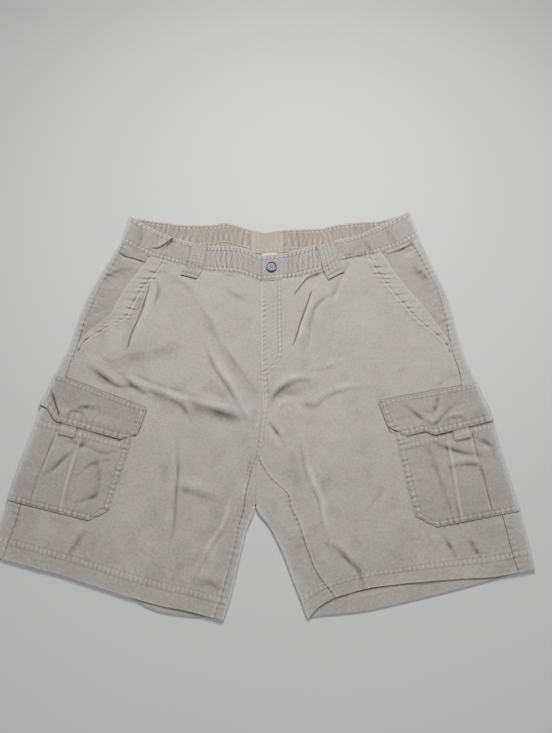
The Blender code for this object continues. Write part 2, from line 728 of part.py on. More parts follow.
def band_height(leg, x):
    """A place on the waistband, midway up, straight above x on the waist seam."""
    row = leg.read(0)
    s = (row["side_x"] - x) / -row["top_way"].x - row["fold"]
    return band_point(leg, s, 0.52)


def waist_button():
    """A shank button: a dished disc with a raised rim, its shank just over the band."""
    seat = band_height(right, BUTTON_X)
    radius, thick = BUTTON_RADIUS, BUTTON_THICK
    profile = (
        (0.0, thick * 0.62),
        (0.28 * radius, thick * 0.58),
        (0.36 * radius, thick * 0.3),
        (0.62 * radius, thick * 0.34),
        (0.76 * radius, thick * 0.92),
        (0.9 * radius, thick),
        (radius, thick * 0.72),
        (radius, thick * 0.25),
        (0.9 * radius, 0.0),
        (SHANK_RADIUS, 0.0),
        (SHANK_RADIUS, -SHANK_LENGTH),
        (0.0, -SHANK_LENGTH),
    )
    mesh = bpy.data.meshes.new("waist_button")
    points = [(r, 0, z) for r, z in profile]
    mesh.from_pydata(points, [(i, i + 1) for i in range(len(points) - 1)], [])
    mesh.materials.append(metal)
    made = bpy.data.objects.new("waist_button", mesh)
    garment.objects.link(made)
    made.location = seat + CENTRING + Vector((0, 0, SHANK_LENGTH + LAY_GAP))
    turn = made.modifiers.new("turn", "SCREW")
    turn.steps = turn.render_steps = 20
    turn.use_merge_vertices = True
    turn.merge_threshold = 0.00001
    turn.use_smooth_shade = True
    return made


waist_button()


def blank_label():
    """A plain woven label, sewn inside below the centre-back piece."""
    wide, deep = LABEL_SIZE
    top = left.read(0)["under_y"] + LABEL_ABOVE_SEAM
    z = BAND_CLOTH + lift(0) + LAY_GAP + LABEL_CLOTH
    across = spread(LABEL_MIDDLE - wide / 2, LABEL_MIDDLE + wide / 2, 2)
    rows = [[Vector((x, y, z)) for x in across] for y in spread(top, top - deep, 2)]
    return cloth("blank_label", rows, LABEL_CLOTH, white, True)


blank_label()
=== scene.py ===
import bpy
import math
import numpy as np
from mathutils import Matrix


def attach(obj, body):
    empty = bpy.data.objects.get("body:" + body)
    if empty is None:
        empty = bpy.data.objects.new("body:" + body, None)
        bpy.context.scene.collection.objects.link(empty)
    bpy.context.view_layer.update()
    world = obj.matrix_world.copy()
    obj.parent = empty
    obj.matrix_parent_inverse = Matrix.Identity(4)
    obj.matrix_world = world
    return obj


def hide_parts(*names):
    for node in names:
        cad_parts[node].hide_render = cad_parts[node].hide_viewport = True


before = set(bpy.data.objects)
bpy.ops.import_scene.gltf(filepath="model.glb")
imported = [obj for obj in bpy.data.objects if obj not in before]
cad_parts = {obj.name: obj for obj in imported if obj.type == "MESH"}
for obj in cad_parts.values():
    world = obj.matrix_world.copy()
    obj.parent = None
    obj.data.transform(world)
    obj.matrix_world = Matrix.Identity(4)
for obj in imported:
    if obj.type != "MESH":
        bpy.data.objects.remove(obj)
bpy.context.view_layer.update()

# ---------------------------------------------------------------------------
# Front panels: two leg fronts of washed cotton twill, laid flat on the backs.
# Each has a turned-up hem, a facing behind its slant pocket mouth, and double
# topstitching; the right one laps over the fly and carries its J-shaped rows.
MM = 0.001
CENTRING = 1.5 * MM  # brings the middle of the outline to the origin
GAP = 0.3 * MM  # between pieces at a seam
LAY_GAP = 0.5 * MM  # between a piece and the panel that it lies on
CLOTH = 1.2 * MM
HEM_CLOTH = 2.0 * MM
TOP = 5.0 * MM  # outer surface of the top layer
WAIST_RISE = 1.1 * MM
UNDER_LIFT = 1.8 * MM
MOUTH_RISE = 0.8  # millimetres, front panel over the pocket's side piece
FLY_WIDTH, FLY_LENGTH, FLY_TOP_Y = 33, 158, 184  # millimetres
FLY_RISE = 1.6 * MM
POCKET_MIDDLE = 49 * MM
POCKET_WIDTH = 190 * MM
FLAP_WIDTH = 200 * MM
CROTCH_V, APEX_V, HEM_V = 7.0, 9.0, 14.0  # sections of the legs' tables
# Millimetres from one section to the next at the loops' feet, the flaps, the lower edges
# of the pockets, and the hem.
FOOT_STEP, FLAP_STEP, POCKET_STEP, HEM_STEP = 36, 42, 35, 27
HEM_ROWS, HEM_ROWS_V = (20, 29), (12.93, 13.26)  # millimetres up from the hem, and sections
FOLDS_FADE, CREASES_FADE = (5.3, 6.1), (6.2, 6.55)  # sections where the flap hides them
FINE, FINE_GAP = 0.4 * MM, 0.1 * MM  # the folded edge that shows at a seam, and its gap
EDGE_IN = FINE_GAP / 2 + FINE / 2  # from a seam's line to where the cloth starts to turn
HEM_EDGE_V = HEM_V - 0.04  # the same at the hem, as a section
FRONT_GRID = (356, 238)  # rows and columns of a front panel
HEM_CELLS = 20  # rows of a panel's grid that are turned up at the hem

# One row for each section of a leg, from the waist seam to the hem, in millimetres.
COLUMNS = "v side_x side_y seam mouth top_x top_y inseam under_x under_y rise".split()
LEFT_LEG = (
    (0.0, -237, 256, 5, 54, -4, 184, 0, 0, 235, 1.6),
    (1.0, -253, 224, 9, 52, -4, 148, 0, 0, 198, 1.2),
    (2.0, -272, 183, 10, 49, -4, 106, 0, 0, 150, 1.0),
    (3.0, -285, 149, 12, 49, -3, 67, 0, -1, 103, 1.0),
    (4.0, -293, 115, 10, 29, -2, 29, 0, -2, 60, 1.2),
    (5.0, -300, 80, 12, 13, 0, -13, 0, -3, 14, 1.8),
    (6.0, -312, 46, 15, 16, -4, -51, 0, -5, -32, 2.2),
    (7.0, -323, 7, 18, 19, -8, -88, 0, -7, -82, 2.2),
    (8.0, -334, -38, 19, 20, -9, -128, 8, -8, -127, 2.2),
    (9.0, -345, -82, 20, 21, -9, -167, 15, -9, -167, 2.0),
    (10.0, -354, -118, 20, 21, -20, -199, 12, -20, -199, 2.0),
    (11.0, -361, -153, 20, 21, -28, -232, 10, -28, -232, 1.6),
    (12.0, -367, -182, 21, 22, -35, -263, 11, -35, -263, 0.8),
    (13.0, -372, -209, 20, 21, -42, -292, 12, -42, -292, 0.4),
    (14.0, -376, -235, 19, 20, -50, -317, 13, -50, -317, 0.4),
)
RIGHT_LEG = (
    (0.0, 258, 266, 15, 68, -4, 184, 0, 0, 235, 1.6),
    (1.0, 272, 224, 11, 62, -4, 148, 0, 0, 198, 1.2),
    (2.0, 286, 186, 11, 55, -4, 106, 0, 0, 150, 1.0),
    (3.0, 296, 152, 12, 43, -3, 67, 0, -1, 103, 1.0),
    (4.0, 302, 117, 13, 29, -2, 29, 0, -2, 60, 1.2),
    (5.0, 307, 81, 16, 17, 0, -13, 0, -3, 14, 1.8),
    (6.0, 316, 42, 17, 18, -4, -51, 0, -5, -32, 2.2),
    (7.0, 328, 4, 24, 25, -8, -88, 0, -7, -82, 2.2),
    (8.0, 340, -40, 25, 26, -9, -128, 17, -8, -127, 2.2),
    (9.0, 350, -98, 25, 26, -9, -167, 48, -9, -167, 2.0),
    (10.0, 357, -134, 25, 26, 11, -197, 40, 11, -197, 2.0),
    (11.0, 364, -168, 26, 27, 28, -230, 34, 28, -230, 1.6),
    (12.0, 370, -197, 27, 28, 40, -260, 33, 40, -260, 0.8),
    (13.0, 374, -226, 27, 28, 52, -290, 35, 52, -290, 0.4),
    (14.0, 376, -252, 23, 24, 61, -314, 39, 61, -314, 0.4),
)
# The waist seam and the waistband over it, from the side fold to the middle.
WAIST_COLUMNS = (
    "share left_hang right_hang left_under right_under "
    "left_lean left_depth right_lean right_depth under_lean under_depth"
).split()
WAIST = (
    (0.00, 0, 0, 0, 0, 10, 49, -12, 48, 11, 48),
    (0.10, 6, 7, -2, 2, 14, 44, -17, 45, 6, 45),
    (0.25, 11, 9, -3, 3, 17, 41, -12, 42, 2, 42),
    (0.40, 10, 5, -1, 1, 13, 40, -8, 36, 0, 42),
    (0.50, 9, 3, -2, 1, 9, 41, -8, 36, 0, 42),
    (0.62, 8, 11, -5, 5, 5, 44, -9, 45, 0, 42),
    (0.73, 2, 11, -11, 3, 2, 46, 0, 49, 0, 42),
    (0.86, -3, 7, -5, 0, 0, 47, 0, 45, 0, 41),
    (1.00, 0, 0, 0, 0, 0, 44, 0, 44, 0, 40),
)
HEM_COLUMNS = "share left_hang left_under right_hang right_under".split()
HEM = (
    (0.00, 0, 0, 0, 0),
    (0.15, -1, 0, -1, 2),
    (0.30, -1, 0, -7, 4),
    (0.45, 1, 1, -13, 6),
    (0.60, 3, 4, -18, 7),
    (0.73, 3, 11, -21, 7),
    (0.86, 0, 7, -19, 4),
    (0.94, 0, 2, -13, 1),
    (1.00, 0, 0, 0, 0),
)
# The solid's folds: start, middle, end, then how far each stands up and how wide it is.
FOLDS = (
    (-176, 192, -184, 135, -200, 74, 2.6, 11),
    (-196, 176, -208, 130, -220, 78, -1.6, 10),
    (-142, 192, -120, 172, -95, 152, 1.6, 13),
    (-104, 150, -82, 118, -64, 84, 1.6, 14),
    (-88, 84, -66, 40, -22, -42, 3.0, 12),
    (-268, 52, -236, 26, -186, 18, 2.4, 12),
    (-262, 34, -232, 8, -190, 0, -1.6, 11),
    (-186, 14, -148, 4, -110, -22, 2.4, 12),
    (-116, -4, -78, -16, -26, -32, 3.4, 12),
    (-114, -26, -78, -38, -30, -50, -1.8, 12),
    (-128, -70, -128, -148, -132, -216, 2.6, 11),
    (-120, -130, -94, -138, -66, -146, 1.6, 11),
    (-32, -140, -56, -206, -94, -266, 2.8, 13),
    (-90, -256, -74, -258, -60, -260, 1.6, 10),
    (-270, -216, -256, -204, -240, -194, 1.4, 12),
    (100, 208, 74, 192, 50, 158, 2.2, 13),
    (82, 170, 62, 120, 46, 72, 2.6, 11),
    (118, 168, 88, 142, 74, 82, 2.4, 13),
    (142, 222, 122, 184, 106, 140, 1.6, 13),
    (10, 2, 34, 20, 70, 30, 2.2, 12),
    (10, -14, 32, -4, 66, 8, -1.6, 11),
    (14, -38, 36, -22, 60, -34, 2.4, 11),
    (76, 30, 96, 36, 118, 44, 1.6, 13),
    (64, -14, 96, -4, 158, 12, 2.0, 12),
    (254, 6, 262, 14, 274, 26, 1.6, 10),
    (6, -50, 18, -66, 34, -84, 2.0, 10),
    (52, -72, 78, -150, 94, -214, 3.0, 14),
    (90, -206, 112, -222, 138, -246, 1.8, 11),
    (192, -106, 170, -150, 140, -184, 2.2, 17),
    (150, 120, 190, 90, 226, 40, 1.4, 18),
)
# Sharper creases on and beside those folds. groove: depth of the narrow trough along the
# line. crest: height of the ridge beside it, to the line's left if side is 1, all in mm.
SHARP = 1.5
CREASES = (
    # groove, crest, width, side, points
    (1.7, 1.0, 6, 1, ((-184, 177), (-194, 133), (-206, 96), (-210, 73))),
    (0.7, 0.5, 5, 1, ((-174, 190), (-168, 170), (-174, 140))),
    (0.8, 0.6, 9, 1, ((-150, 197), (-122, 176), (-98, 156))),
    (0.6, 0.5, 8, 1, ((-62, 175), (-44, 163), (-26, 151))),
    (0.7, 0.6, 10, 1, ((-107, 152), (-84, 116), (-69, 86))),
    (0.7, 0.5, 11, 1, ((-63, 78), (-45, 50), (-25, 22), (-7, -2))),
    (0.5, 0.5, 15, 1, ((-253, 60), (-231, 49), (-208, 60), (-163, 67), (-142, 80), (-127, 71))),
    (0.6, 0.8, 8, -1, ((-224, 30), (-196, 26), (-158, 11), (-115, -3), (-72, -15))),
    (1.0, 1.0, 5, 1, ((-90, 74), (-72, 38), (-50, 5), (-25, -38))),
    (1.2, 1.2, 7, 1, ((-267, 43), (-242, 24), (-220, 11), (-193, 10))),
    (1.1, 1.1, 6, 1, ((-214, 26), (-192, 8), (-176, -3))),
    (1.2, 1.2, 7, 1, ((-182, 6), (-149, -6), (-124, -18), (-110, -36))),
    (1.0, 1.2, 7, 1, ((-111, -15), (-80, -25), (-49, -35), (-26, -40))),
    (0.7, 0.6, 5, 1, ((-126, -71), (-121, -112), (-122, -148), (-122, -188), (-126, -216))),
    (0.5, 0.5, 6, 1, ((-120, -141), (-94, -148), (-71, -156))),
    (0.3, 1.2, 4, -1, ((-38, -150), (-50, -193), (-66, -217), (-80, -241), (-95, -265))),
    (0.6, 0.5, 6, 1, ((-90, -268), (-70, -268), (-60, -273), (-45, -277))),
    (0.7, 0.6, 7, 1, ((-268, -232), (-256, -212), (-246, -196))),
    (1.6, 1.0, 6, -1, ((105, 206), (87, 201), (74, 194), (64, 183), (50, 163))),
    (1.5, 1.0, 5, 1, ((77, 168), (68, 141), (59, 115), (51, 88), (47, 77))),
    (0.85, 1.0, 8, 1, ((116, 166), (86, 144), (76, 116), (72, 84))),
    (0.9, 0.7, 10, 1, ((141, 224), (130, 200), (116, 170), (104, 141))),
    (1.15, 1.1, 6, 1, ((12, -9), (29, 7), (50, 18), (66, 20))),
    (0.7, 1.0, 6, 1, ((17, -35), (32, -20), (43, -18), (54, -31))),
    (0.7, 0.7, 6, 1, ((77, 35), (95, 38), (114, 45))),
    (0.9, 0.9, 6, 1, ((65, -18), (80, -20), (91, -9), (117, 2), (155, 9))),
    (0.8, 0.7, 6, 1, ((259, 0), (267, 9), (275, 18))),
    (1.2, 0.8, 5, 1, ((11, -45), (23, -63), (33, -78))),
    (0.5, 1.2, 4.5, 1, ((55, -72), (66, -127), (80, -158), (84, -185), (92, -216))),
    (1.1, 0.8, 5, 1, ((93, -219), (107, -225), (121, -240), (134, -252), (139, -264), (141, -279))),
    (0.4, 0.5, 10, 1, ((187, -110), (167, -152), (143, -180))),
    (0.15, 1.1, 4, 1, ((225, -190), (232, -203), (239, -219))),
    (1.0, 0.7, 5, 1, ((256, -210), (262, -220), (269, -231))),
    (0.9, 0.6, 5, 1, ((291, -214), (297, -223), (303, -233))),
    (0.9, 0.6, 4, 1, ((-13, -96), (-17, -110), (-19, -125))),
    (0.8, 0.5, 4, 1, ((-11, -109), (-13, -125), (-13, -141))),
)


def column(rows, names, name, at):
    """A column of a table, read between its rows along a curve without overshoot."""
    keys = np.array([row[0] for row in rows], float)
    values = np.array([row[names.index(name)] for row in rows], float)
    steps = np.diff(keys)
    slopes = np.diff(values) / steps
    tangents = np.zeros(len(keys))
    for i in range(1, len(keys) - 1):
        if slopes[i - 1] * slopes[i] > 0:
            near, far = 2 * steps[i] + steps[i - 1], steps[i] + 2 * steps[i - 1]
            tangents[i] = (near + far) / (near / slopes[i - 1] + far / slopes[i])
    tangents[0], tangents[-1] = slopes[0], slopes[-1]
    i = np.clip(np.searchsorted(keys, at) - 1, 0, len(steps) - 1)
    t = (at - keys[i]) / steps[i]
    return (
        values[i] * (1 + 2 * t) * (1 - t) ** 2
        + steps[i] * tangents[i] * t * (1 - t) ** 2
        + values[i + 1] * t * t * (3 - 2 * t)
        + steps[i] * tangents[i + 1] * t * t * (t - 1)
    )


def ease(a, b, x):
    """0 at a, 1 at b, with soft ends."""
    t = np.clip((x - a) / (b - a), 0, 1)
    return t * t * (3 - 2 * t)


def bump(x, middle, width):
    return np.exp(-(((x - middle) / width) ** 2))


def smooth_line(points):
    """Points every 3 mm or so along a soft curve through the given ones."""
    given = np.array(points, float)
    ends = np.vstack((2 * given[0] - given[1], given, 2 * given[-1] - given[-2]))
    pieces = []
    for a, b, c, d in zip(ends, ends[1:], ends[2:], ends[3:]):
        count = max(2, int(np.hypot(*(c - b)) / 3))
        t = np.arange(count)[:, None] / count
        curve = 2 * b + (c - a) * t + (2 * a - 5 * b + 4 * c - d) * t**2
        pieces.append(0.5 * (curve + (3 * b - a - 3 * c + d) * t**3))
    return np.vstack(pieces + [given[-1:]])


def near_line(x, y, line, reach):
    """Which points lie near a line, how far to its left, and how far along it from 0 to 1."""
    low, high = line.min(0) - reach, line.max(0) + reach
    here = (x > low[0]) & (x < high[0]) & (y > low[1]) & (y < high[1])
    px, py = x[here], y[here]
    away, left_of, along = np.full(px.shape, 1e9), np.ones(px.shape), np.zeros(px.shape)
    steps = np.diff(line, axis=0)
    lengths = np.hypot(*steps.T)
    starts = np.concatenate(([0], np.cumsum(lengths)))
    for (ax, ay), (dx, dy), length, start in zip(line, steps, lengths, starts):
        t = np.clip(((px - ax) * dx + (py - ay) * dy) / length**2, 0, 1)
        rx, ry = px - ax - t * dx, py - ay - t * dy
        nearer = np.hypot(rx, ry) < away
        away[nearer] = np.hypot(rx, ry)[nearer]
        left_of[nearer] = np.where(dx * ry - dy * rx > 0, 1, -1)[nearer]
        along[nearer] = (start + t * length)[nearer] / starts[-1]
    return here, away * left_of, along


def fold_height(x, y):
    """How far the solid's folds raise the top layer, in metres."""
    total = np.zeros(x.shape)
    for x0, y0, x1, y1, x2, y2, height, width in FOLDS:
        line = np.array(((x0, y0), (x1, y1), (x2, y2)), float)
        here, away, along = near_line(x / MM, y / MM, line, 3 * width)
        total[here] += height * np.sin(math.pi * (0.12 + 0.76 * along)) * bump(away, 0, width)
    return total * MM


def drawn_creases(x, y, creases):
    """Creases along lines, in millimetres: a ridge, a soft hollow, and a trough between
    them that is narrow where its depth is SHARP or more."""
    total = np.zeros(x.shape)
    for groove, crest, width, side, points in creases:
        here, away, along = near_line(x / MM, y / MM, smooth_line(points), 3.5 * width)
        taper = np.sin(math.pi * (0.05 + 0.9 * along)) ** 0.55
        uneven = 1 + 0.25 * np.sin(along * 9 + width + points[0][0])
        ridge = 0.55 * crest * bump(away, side * 1.2 * width, width)
        hollow = 0.5 * groove * bump(away, -side * 0.6 * width, width)
        trough = bump(away, 0, 1.4) if groove >= SHARP else 0.65 * bump(away, 0, 3.6)
        total[here] += taper * uneven * (ridge - hollow - groove * trough)
    return total


def creased(points, creases, share):
    """Points raised by a share of the creases drawn over them."""
    points[..., 2] += drawn_creases(points[..., 0], points[..., 1], creases) * MM * share
    return points


def crease_shade(points, creases):
    """Painted shade that lies along creases, on the side away from the ridge, with a dark line down
    the sharp ones.
    """
    x, y = points[..., 0] / MM, points[..., 1] / MM
    total = np.zeros(x.shape)
    for groove, _, width, side, path in creases:
        here, away, along = near_line(x, y, smooth_line(path), 2.5 * width)
        shade = 0.9 * groove**0.35 * bump(away, -side * 0.3 * width, 0.6 * width)
        if groove >= SHARP:
            shade = 0.5 * shade + 2.0 * bump(away, 0, 1.3)
        total[here] += np.sin(math.pi * (0.05 + 0.9 * along)) ** 0.55 * shade
    return total


def crease_height(x, y):
    """The sharper creases, and the low unevenness of worn cloth, in metres."""
    total = drawn_creases(x, y, CREASES)
    chance = np.random.default_rng(4)
    for length in (31, 38, 47, 58, 74, 95):
        turn, phase, bow = chance.uniform(0, 2 * math.pi, 3)
        across = (x * math.cos(turn) + y * math.sin(turn)) / (length * MM)
        swing = 2 * math.pi * (y * math.cos(turn) - x * math.sin(turn))
        swing = np.sin(swing / (2.3 * length * MM) + bow)
        total += 0.0042 * length * np.sin(2 * math.pi * across + phase + 1.3 * swing)
    return total * MM


def lift(v):
    """How far the bottom layer is held up by what lies under it at the side."""
    loops = 1 - ease(0.5, 1.2, v)
    pocket = ease(6.1, 6.5, v) * (1 - ease(11.3, 11.8, v))
    flap_on_pocket = ease(7.2, 7.6, v) * (1 - ease(8.05, 8.4, v))
    return UNDER_LIFT * (loops + pocket + flap_on_pocket)


class Leg:
    """One leg's outer surface, as sections read from its table."""

    def __init__(self, side):
        self.side = side
        self.rows = LEFT_LEG if side == "left" else RIGHT_LEG
        self.facing = -1 if side == "left" else 1  # rows run to the hem, columns inwards

    def section(self, v):
        """Table values in metres at the sections v, and the spans worked out from them."""
        row = {name: column(self.rows, COLUMNS, name, v) * MM for name in COLUMNS[1:]}
        for layer in ("top", "under"):
            dx = row[layer + "_x"] - row["side_x"]
            dy = row[layer + "_y"] - row["side_y"]
            long = np.hypot(dx, dy)
            row[layer + "_dx"], row[layer + "_dy"] = dx / long, dy / long
            row[layer + "_long"] = long - GAP / 2
        row["lift"] = lift(v)
        row["fold"] = (self.base_z(row, v, 0) - row["lift"]) / 2
        below_gap = self.base_z(row, v, row["top_long"]) / 2
        row["inner_fold"] = np.where(v >= APEX_V, below_gap, 0)
        row["bend"] = math.pi * row["fold"]
        row["top_span"] = row["top_long"] - row["fold"] - row["inner_fold"]
        row["under_span"] = row["under_long"] - row["fold"] - row["inner_fold"]
        return row

    def base_z(self, row, v, inward):
        near = 1 - ease(20 * MM, 120 * MM, inward)
        return TOP + row["rise"] * (0.45 + 0.55 * near) + WAIST_RISE * (1 - ease(0, 1.1, v))

    def hang(self, v, share, layer):
        name = f"{self.side}_hang" if layer == "top" else f"{self.side}_under"
        share = np.clip(share, 0, 1)
        waist = (1 - ease(0, 2.6, v)) * column(WAIST, WAIST_COLUMNS, name, share)
        return (waist + ease(11.5, HEM_V, v) * column(HEM, HEM_COLUMNS, name, share)) * MM

    def cover(self, v, inward, fade):
        """1 under the cargo pocket and its flap, 0 clear of them."""
        far = POCKET_MIDDLE + FLAP_WIDTH / 2 + 6 * MM
        rows = ease(*fade, v) * (1 - ease(11.25, 11.6, v))
        return rows * (1 - ease(far, far + 24 * MM, inward))

    def fly_rise(self, row, x, y):
        across, down = (x - row["top_x"]) / MM, FLY_TOP_Y - y / MM
        side = 1 - ease(FLY_WIDTH - 6, FLY_WIDTH + 34, across)
        return FLY_RISE * side * (1 - ease(FLY_LENGTH - 8, FLY_LENGTH + 34, down))

    def place(self, v, s, out=0.0):
        """Points of the outer surface at sections v, s in from the side fold over the top.

        Negative s goes round the fold and back under. out moves them off the surface.
        """
        row = self.section(v)
        fold, inward = row["fold"], np.maximum(s, 0)
        x = row["side_x"] + row["top_dx"] * (inward + fold)
        y = row["side_y"] + row["top_dy"] * (inward + fold)
        y = y - self.hang(v, inward / row["top_span"], "top")
        edges = ease(0, 26 * MM, inward)
        edges = edges * ease(0, 22 * MM, np.maximum(row["top_span"] - s, 0))
        edges = edges * (1 - 0.6 * ease(13.0, HEM_V, v))
        folds = fold_height(x, y) * (1 - self.cover(v, inward, FOLDS_FADE)) * ease(0, 0.9, v)
        creases = crease_height(x, y) * (1 - self.cover(v, inward, CREASES_FADE))
        creases = creases * ease(0, 0.12, v)
        z = self.base_z(row, v, inward) + (folds + creases) * edges
        if self.side == "right":
            z = z + self.fly_rise(row, x, y) * (v < CROTCH_V)
        turn = np.clip(-s / fold, 0, math.pi)
        inset = fold - (fold + out) * np.sin(turn)
        bend_z = row["lift"] + fold + (fold + out) * np.cos(turn)
        run = np.maximum(-s - row["bend"], 0)
        under_x = row["side_x"] + row["under_dx"] * (run + fold)
        under_y = row["side_y"] + row["under_dy"] * (run + fold)
        under_y = under_y - self.hang(v, run / row["under_span"], "under")
        pocket = 1 - ease(POCKET_WIDTH * 0.36, POCKET_WIDTH * 0.55, run)
        share = np.where(v > 2, pocket, 1.0)
        on_top, on_bend = s >= 0, s > -row["bend"]
        x = np.where(on_top, x, np.where(on_bend, row["side_x"] + row["top_dx"] * inset, under_x))
        y = np.where(on_top, y, np.where(on_bend, row["side_y"] + row["top_dy"] * inset, under_y))
        z = np.where(on_top, z + out, np.where(on_bend, bend_z, row["lift"] * share - out))
        return np.stack((x, y + CENTRING, z), -1)

    def mouth_s(self, v):
        row = self.section(v)
        return row["mouth"] - row["fold"]

    def seam_s(self, v):
        row = self.section(v)
        return np.maximum(row["seam"] - row["fold"], 1.2 * MM)

    def inner_s(self, v):
        row = self.section(v)
        return row["top_span"] + row["inner_fold"] - row["inseam"]

    def down(self, v):
        """How far below the waist seam a section lies at the side, in millimetres."""
        return self.rows[0][2] - column(self.rows, COLUMNS, "side_y", v)


left, right = Leg("left"), Leg("right")
legs = (left, right)


def gathers(along, pitch, seed):
    """An uneven wave between -1 and 1 along a seam that its stitches draw up."""
    a, b, c = np.random.default_rng(seed).uniform(0, 2 * math.pi, 3)
    drift = 1.5 * np.sin(along / (3.7 * pitch) * 2 + a) + 0.8 * np.sin(along / pitch + b)
    size = 0.62 + 0.38 * np.sin(along / (1.3 * pitch) + c) * np.sin(along / (2.9 * pitch) + a)
    return size * np.sin(2 * math.pi * along / pitch + drift)


def double_row(near, first, second, along, pitch, seed):
    """Two rows of stitches sink into the cloth, and between them it stands up in beads."""
    drift = 0.7 * np.sin(along / (3.1 * pitch) + seed)
    drift = drift + 0.4 * np.sin(along / (1.2 * pitch) + 2 * seed)
    bead = 0.5 + 0.5 * np.cos(2 * math.pi * along / pitch + drift)
    middle, half = (first + second) / 2, (second - first) / 2
    sunk = bump(near, first, 1.2) + bump(near, second, 1.2)
    return (0.62 * bead - 0.1) * bump(near, middle, 0.85 * half) - 0.3 * sunk


def facing_width(v):
    """The facing that shows along the slant pocket's mouth, in millimetres."""
    return 23 - 19 * ease(3.0, 5.3, v)


def front_relief(leg, v, s):
    """Pocket mouth, fly, seams and hem of a front panel, in metres above plain cloth."""
    row = leg.section(v)
    down, across = leg.down(v), s / MM
    mouth = (s - leg.mouth_s(v)) / MM
    inner = (leg.inner_s(v) - s) / MM
    open_mouth = 1 - ease(4.3, 5.0, v)
    width = facing_width(v)
    total = MOUTH_RISE * open_mouth * (1 - ease(width, width + 8, mouth))
    on_facing = 1 - ease(5.2, 5.5, v)
    total = total + on_facing * (0.35 * bump(mouth, width + 3, 1.8) - 0.6 * bump(mouth, width, 1.4))
    swell = bump(mouth, 0.95 * width, 0.42 * width) + 0.35 * bump(mouth, 0.3 * width, 0.2 * width)
    slant = down + 0.35 * mouth + 3 * np.sin(down / 11 + mouth / 17)
    wave = gathers(slant, 11.5, 3) + 0.4 * gathers(down, 6.1, 19)
    total = total + 1.15 * on_facing * swell * np.minimum(wave, 0.15)
    on_side = ease(4.9, 5.3, v)
    total = total + on_side * (0.3 * gathers(down, 8.5, 5) - 0.2) * np.exp(-mouth / 5)
    on_crotch = ease(3.7, 4.1, v) * (1 - ease(6.9, 7.1, v))
    total = total + 0.25 * on_crotch * gathers(down, 9, 7) * np.exp(-inner / 9)
    if leg.side == "right":
        total = total + 1.3 * on_crotch * double_row(inner, 2.5, 8, down, 7.5, 7)
        at = FLY_TOP_Y - row["top_y"] / MM
        ring = np.hypot(inner, np.maximum(at - (FLY_LENGTH - FLY_WIDTH), 0))
        on_fly = 1 - ease(FLY_LENGTH - 1, FLY_LENGTH + 1, at)
        total = total + 1.5 * on_fly * double_row(ring, FLY_WIDTH - 5.5, FLY_WIDTH, at, 8.3, 2)
        swell = bump(inner, 5.5, 4) + 0.65 * bump(inner, 20, 3.5)
        strong = 0.45 + 0.4 * ease(20, 50, at) * (1 - ease(110, 150, at))
        wave = gathers(at + 0.3 * inner, 8.2, 17)
        total = total + on_fly * strong * swell * np.minimum(wave, 0.35)
    on_inseam = ease(CROTCH_V, CROTCH_V + 0.3, v)
    total = total + on_inseam * (0.3 * gathers(down, 8, 9) - 0.2) * np.exp(-inner / 5)
    above = (HEM_V - v) * HEM_STEP
    total = total + 0.25 * (1 - ease(30, 34, above))
    total = total + double_row(above, *HEM_ROWS, across, 6.6, 5)
    rope = 0.08 * gathers(across + 0.8 * above, 10.5, 11)
    total = total + rope * (1 - ease(32, 44, above))
    total = total + 0.22 * gathers(across, 11.5, 13) * np.exp(-down / 16)
    return total * MM


POCKET_LOW_V, POCKET_CLIP, POCKET_CLIP_V = 11.2, 26 * MM, 0.62
FLAP_TOP_V = {"left": (6.5, 6.72), "right": (6.78, 6.42)}  # at the fold, at the inner end
FLAP_LOW_V, FLAP_CLIP, FLAP_CLIP_V = 8.0, 20 * MM, 0.38


def drawn_span(width, v, low_v, clip, clip_v):
    """Both side edges at section v, drawn in where the lower corners are clipped."""
    drawn = clip * np.clip((v - (low_v - clip_v)) / clip_v, 0, 1)
    return POCKET_MIDDLE - width / 2 + drawn, POCKET_MIDDLE + width / 2 - drawn


def pocket_span(v):
    return drawn_span(POCKET_WIDTH, v, POCKET_LOW_V, POCKET_CLIP, POCKET_CLIP_V)


def flap_span(v):
    return drawn_span(FLAP_WIDTH, v, FLAP_LOW_V, FLAP_CLIP, FLAP_CLIP_V)


LOOP_WIDTH = 27 * MM
LOOP_FOOT, FOOT_V = 20, 0.56  # millimetres below the waist seam, and the section there
FRONT_LOOPS = {"left": 0.53, "right": 0.56}  # shares of the way from side fold to middle


def loop_shade(leg, v, s):
    """Shade beside a front belt loop, and under its foot where v runs past it."""
    away = (abs(s - leg.section(0.0)["top_span"] * FRONT_LOOPS[leg.side]) - LOOP_WIDTH / 2) / MM
    beside = 1.3 * bump(away, 0.6, 1.3) * (v < FOOT_V)
    return beside + 1.8 * bump((v - FOOT_V) * FOOT_STEP, 0.6, 1.2) * (away < 0)


def gap_shade(leg, v, s):
    """Shade on the panel in the narrow gap beside the pocket's and the flap's edges."""
    at_fold, at_end = FLAP_TOP_V[leg.side]
    reach = POCKET_MIDDLE + FLAP_WIDTH / 2
    top = at_fold + (at_end - at_fold) * np.clip(s / reach, 0, 1)
    (_, flap_end), (_, pocket_end) = flap_span(v), pocket_span(v)
    shade = 2.1 * bump((v - top) * FLAP_STEP, -1.7, 1.6) * (s < reach)
    shade = shade + 2.4 * bump((s - flap_end) / MM, 1.2, 1.5) * (v > top) * (v < FLAP_LOW_V)
    on_pocket = (v > FLAP_LOW_V) * (v < POCKET_LOW_V)
    shade = shade + 0.6 * bump((s - pocket_end) / MM, 0.8, 1.2) * on_pocket
    return shade + 0.8 * bump((v - POCKET_LOW_V) * POCKET_STEP, 0.8, 1.2) * (s < pocket_end)


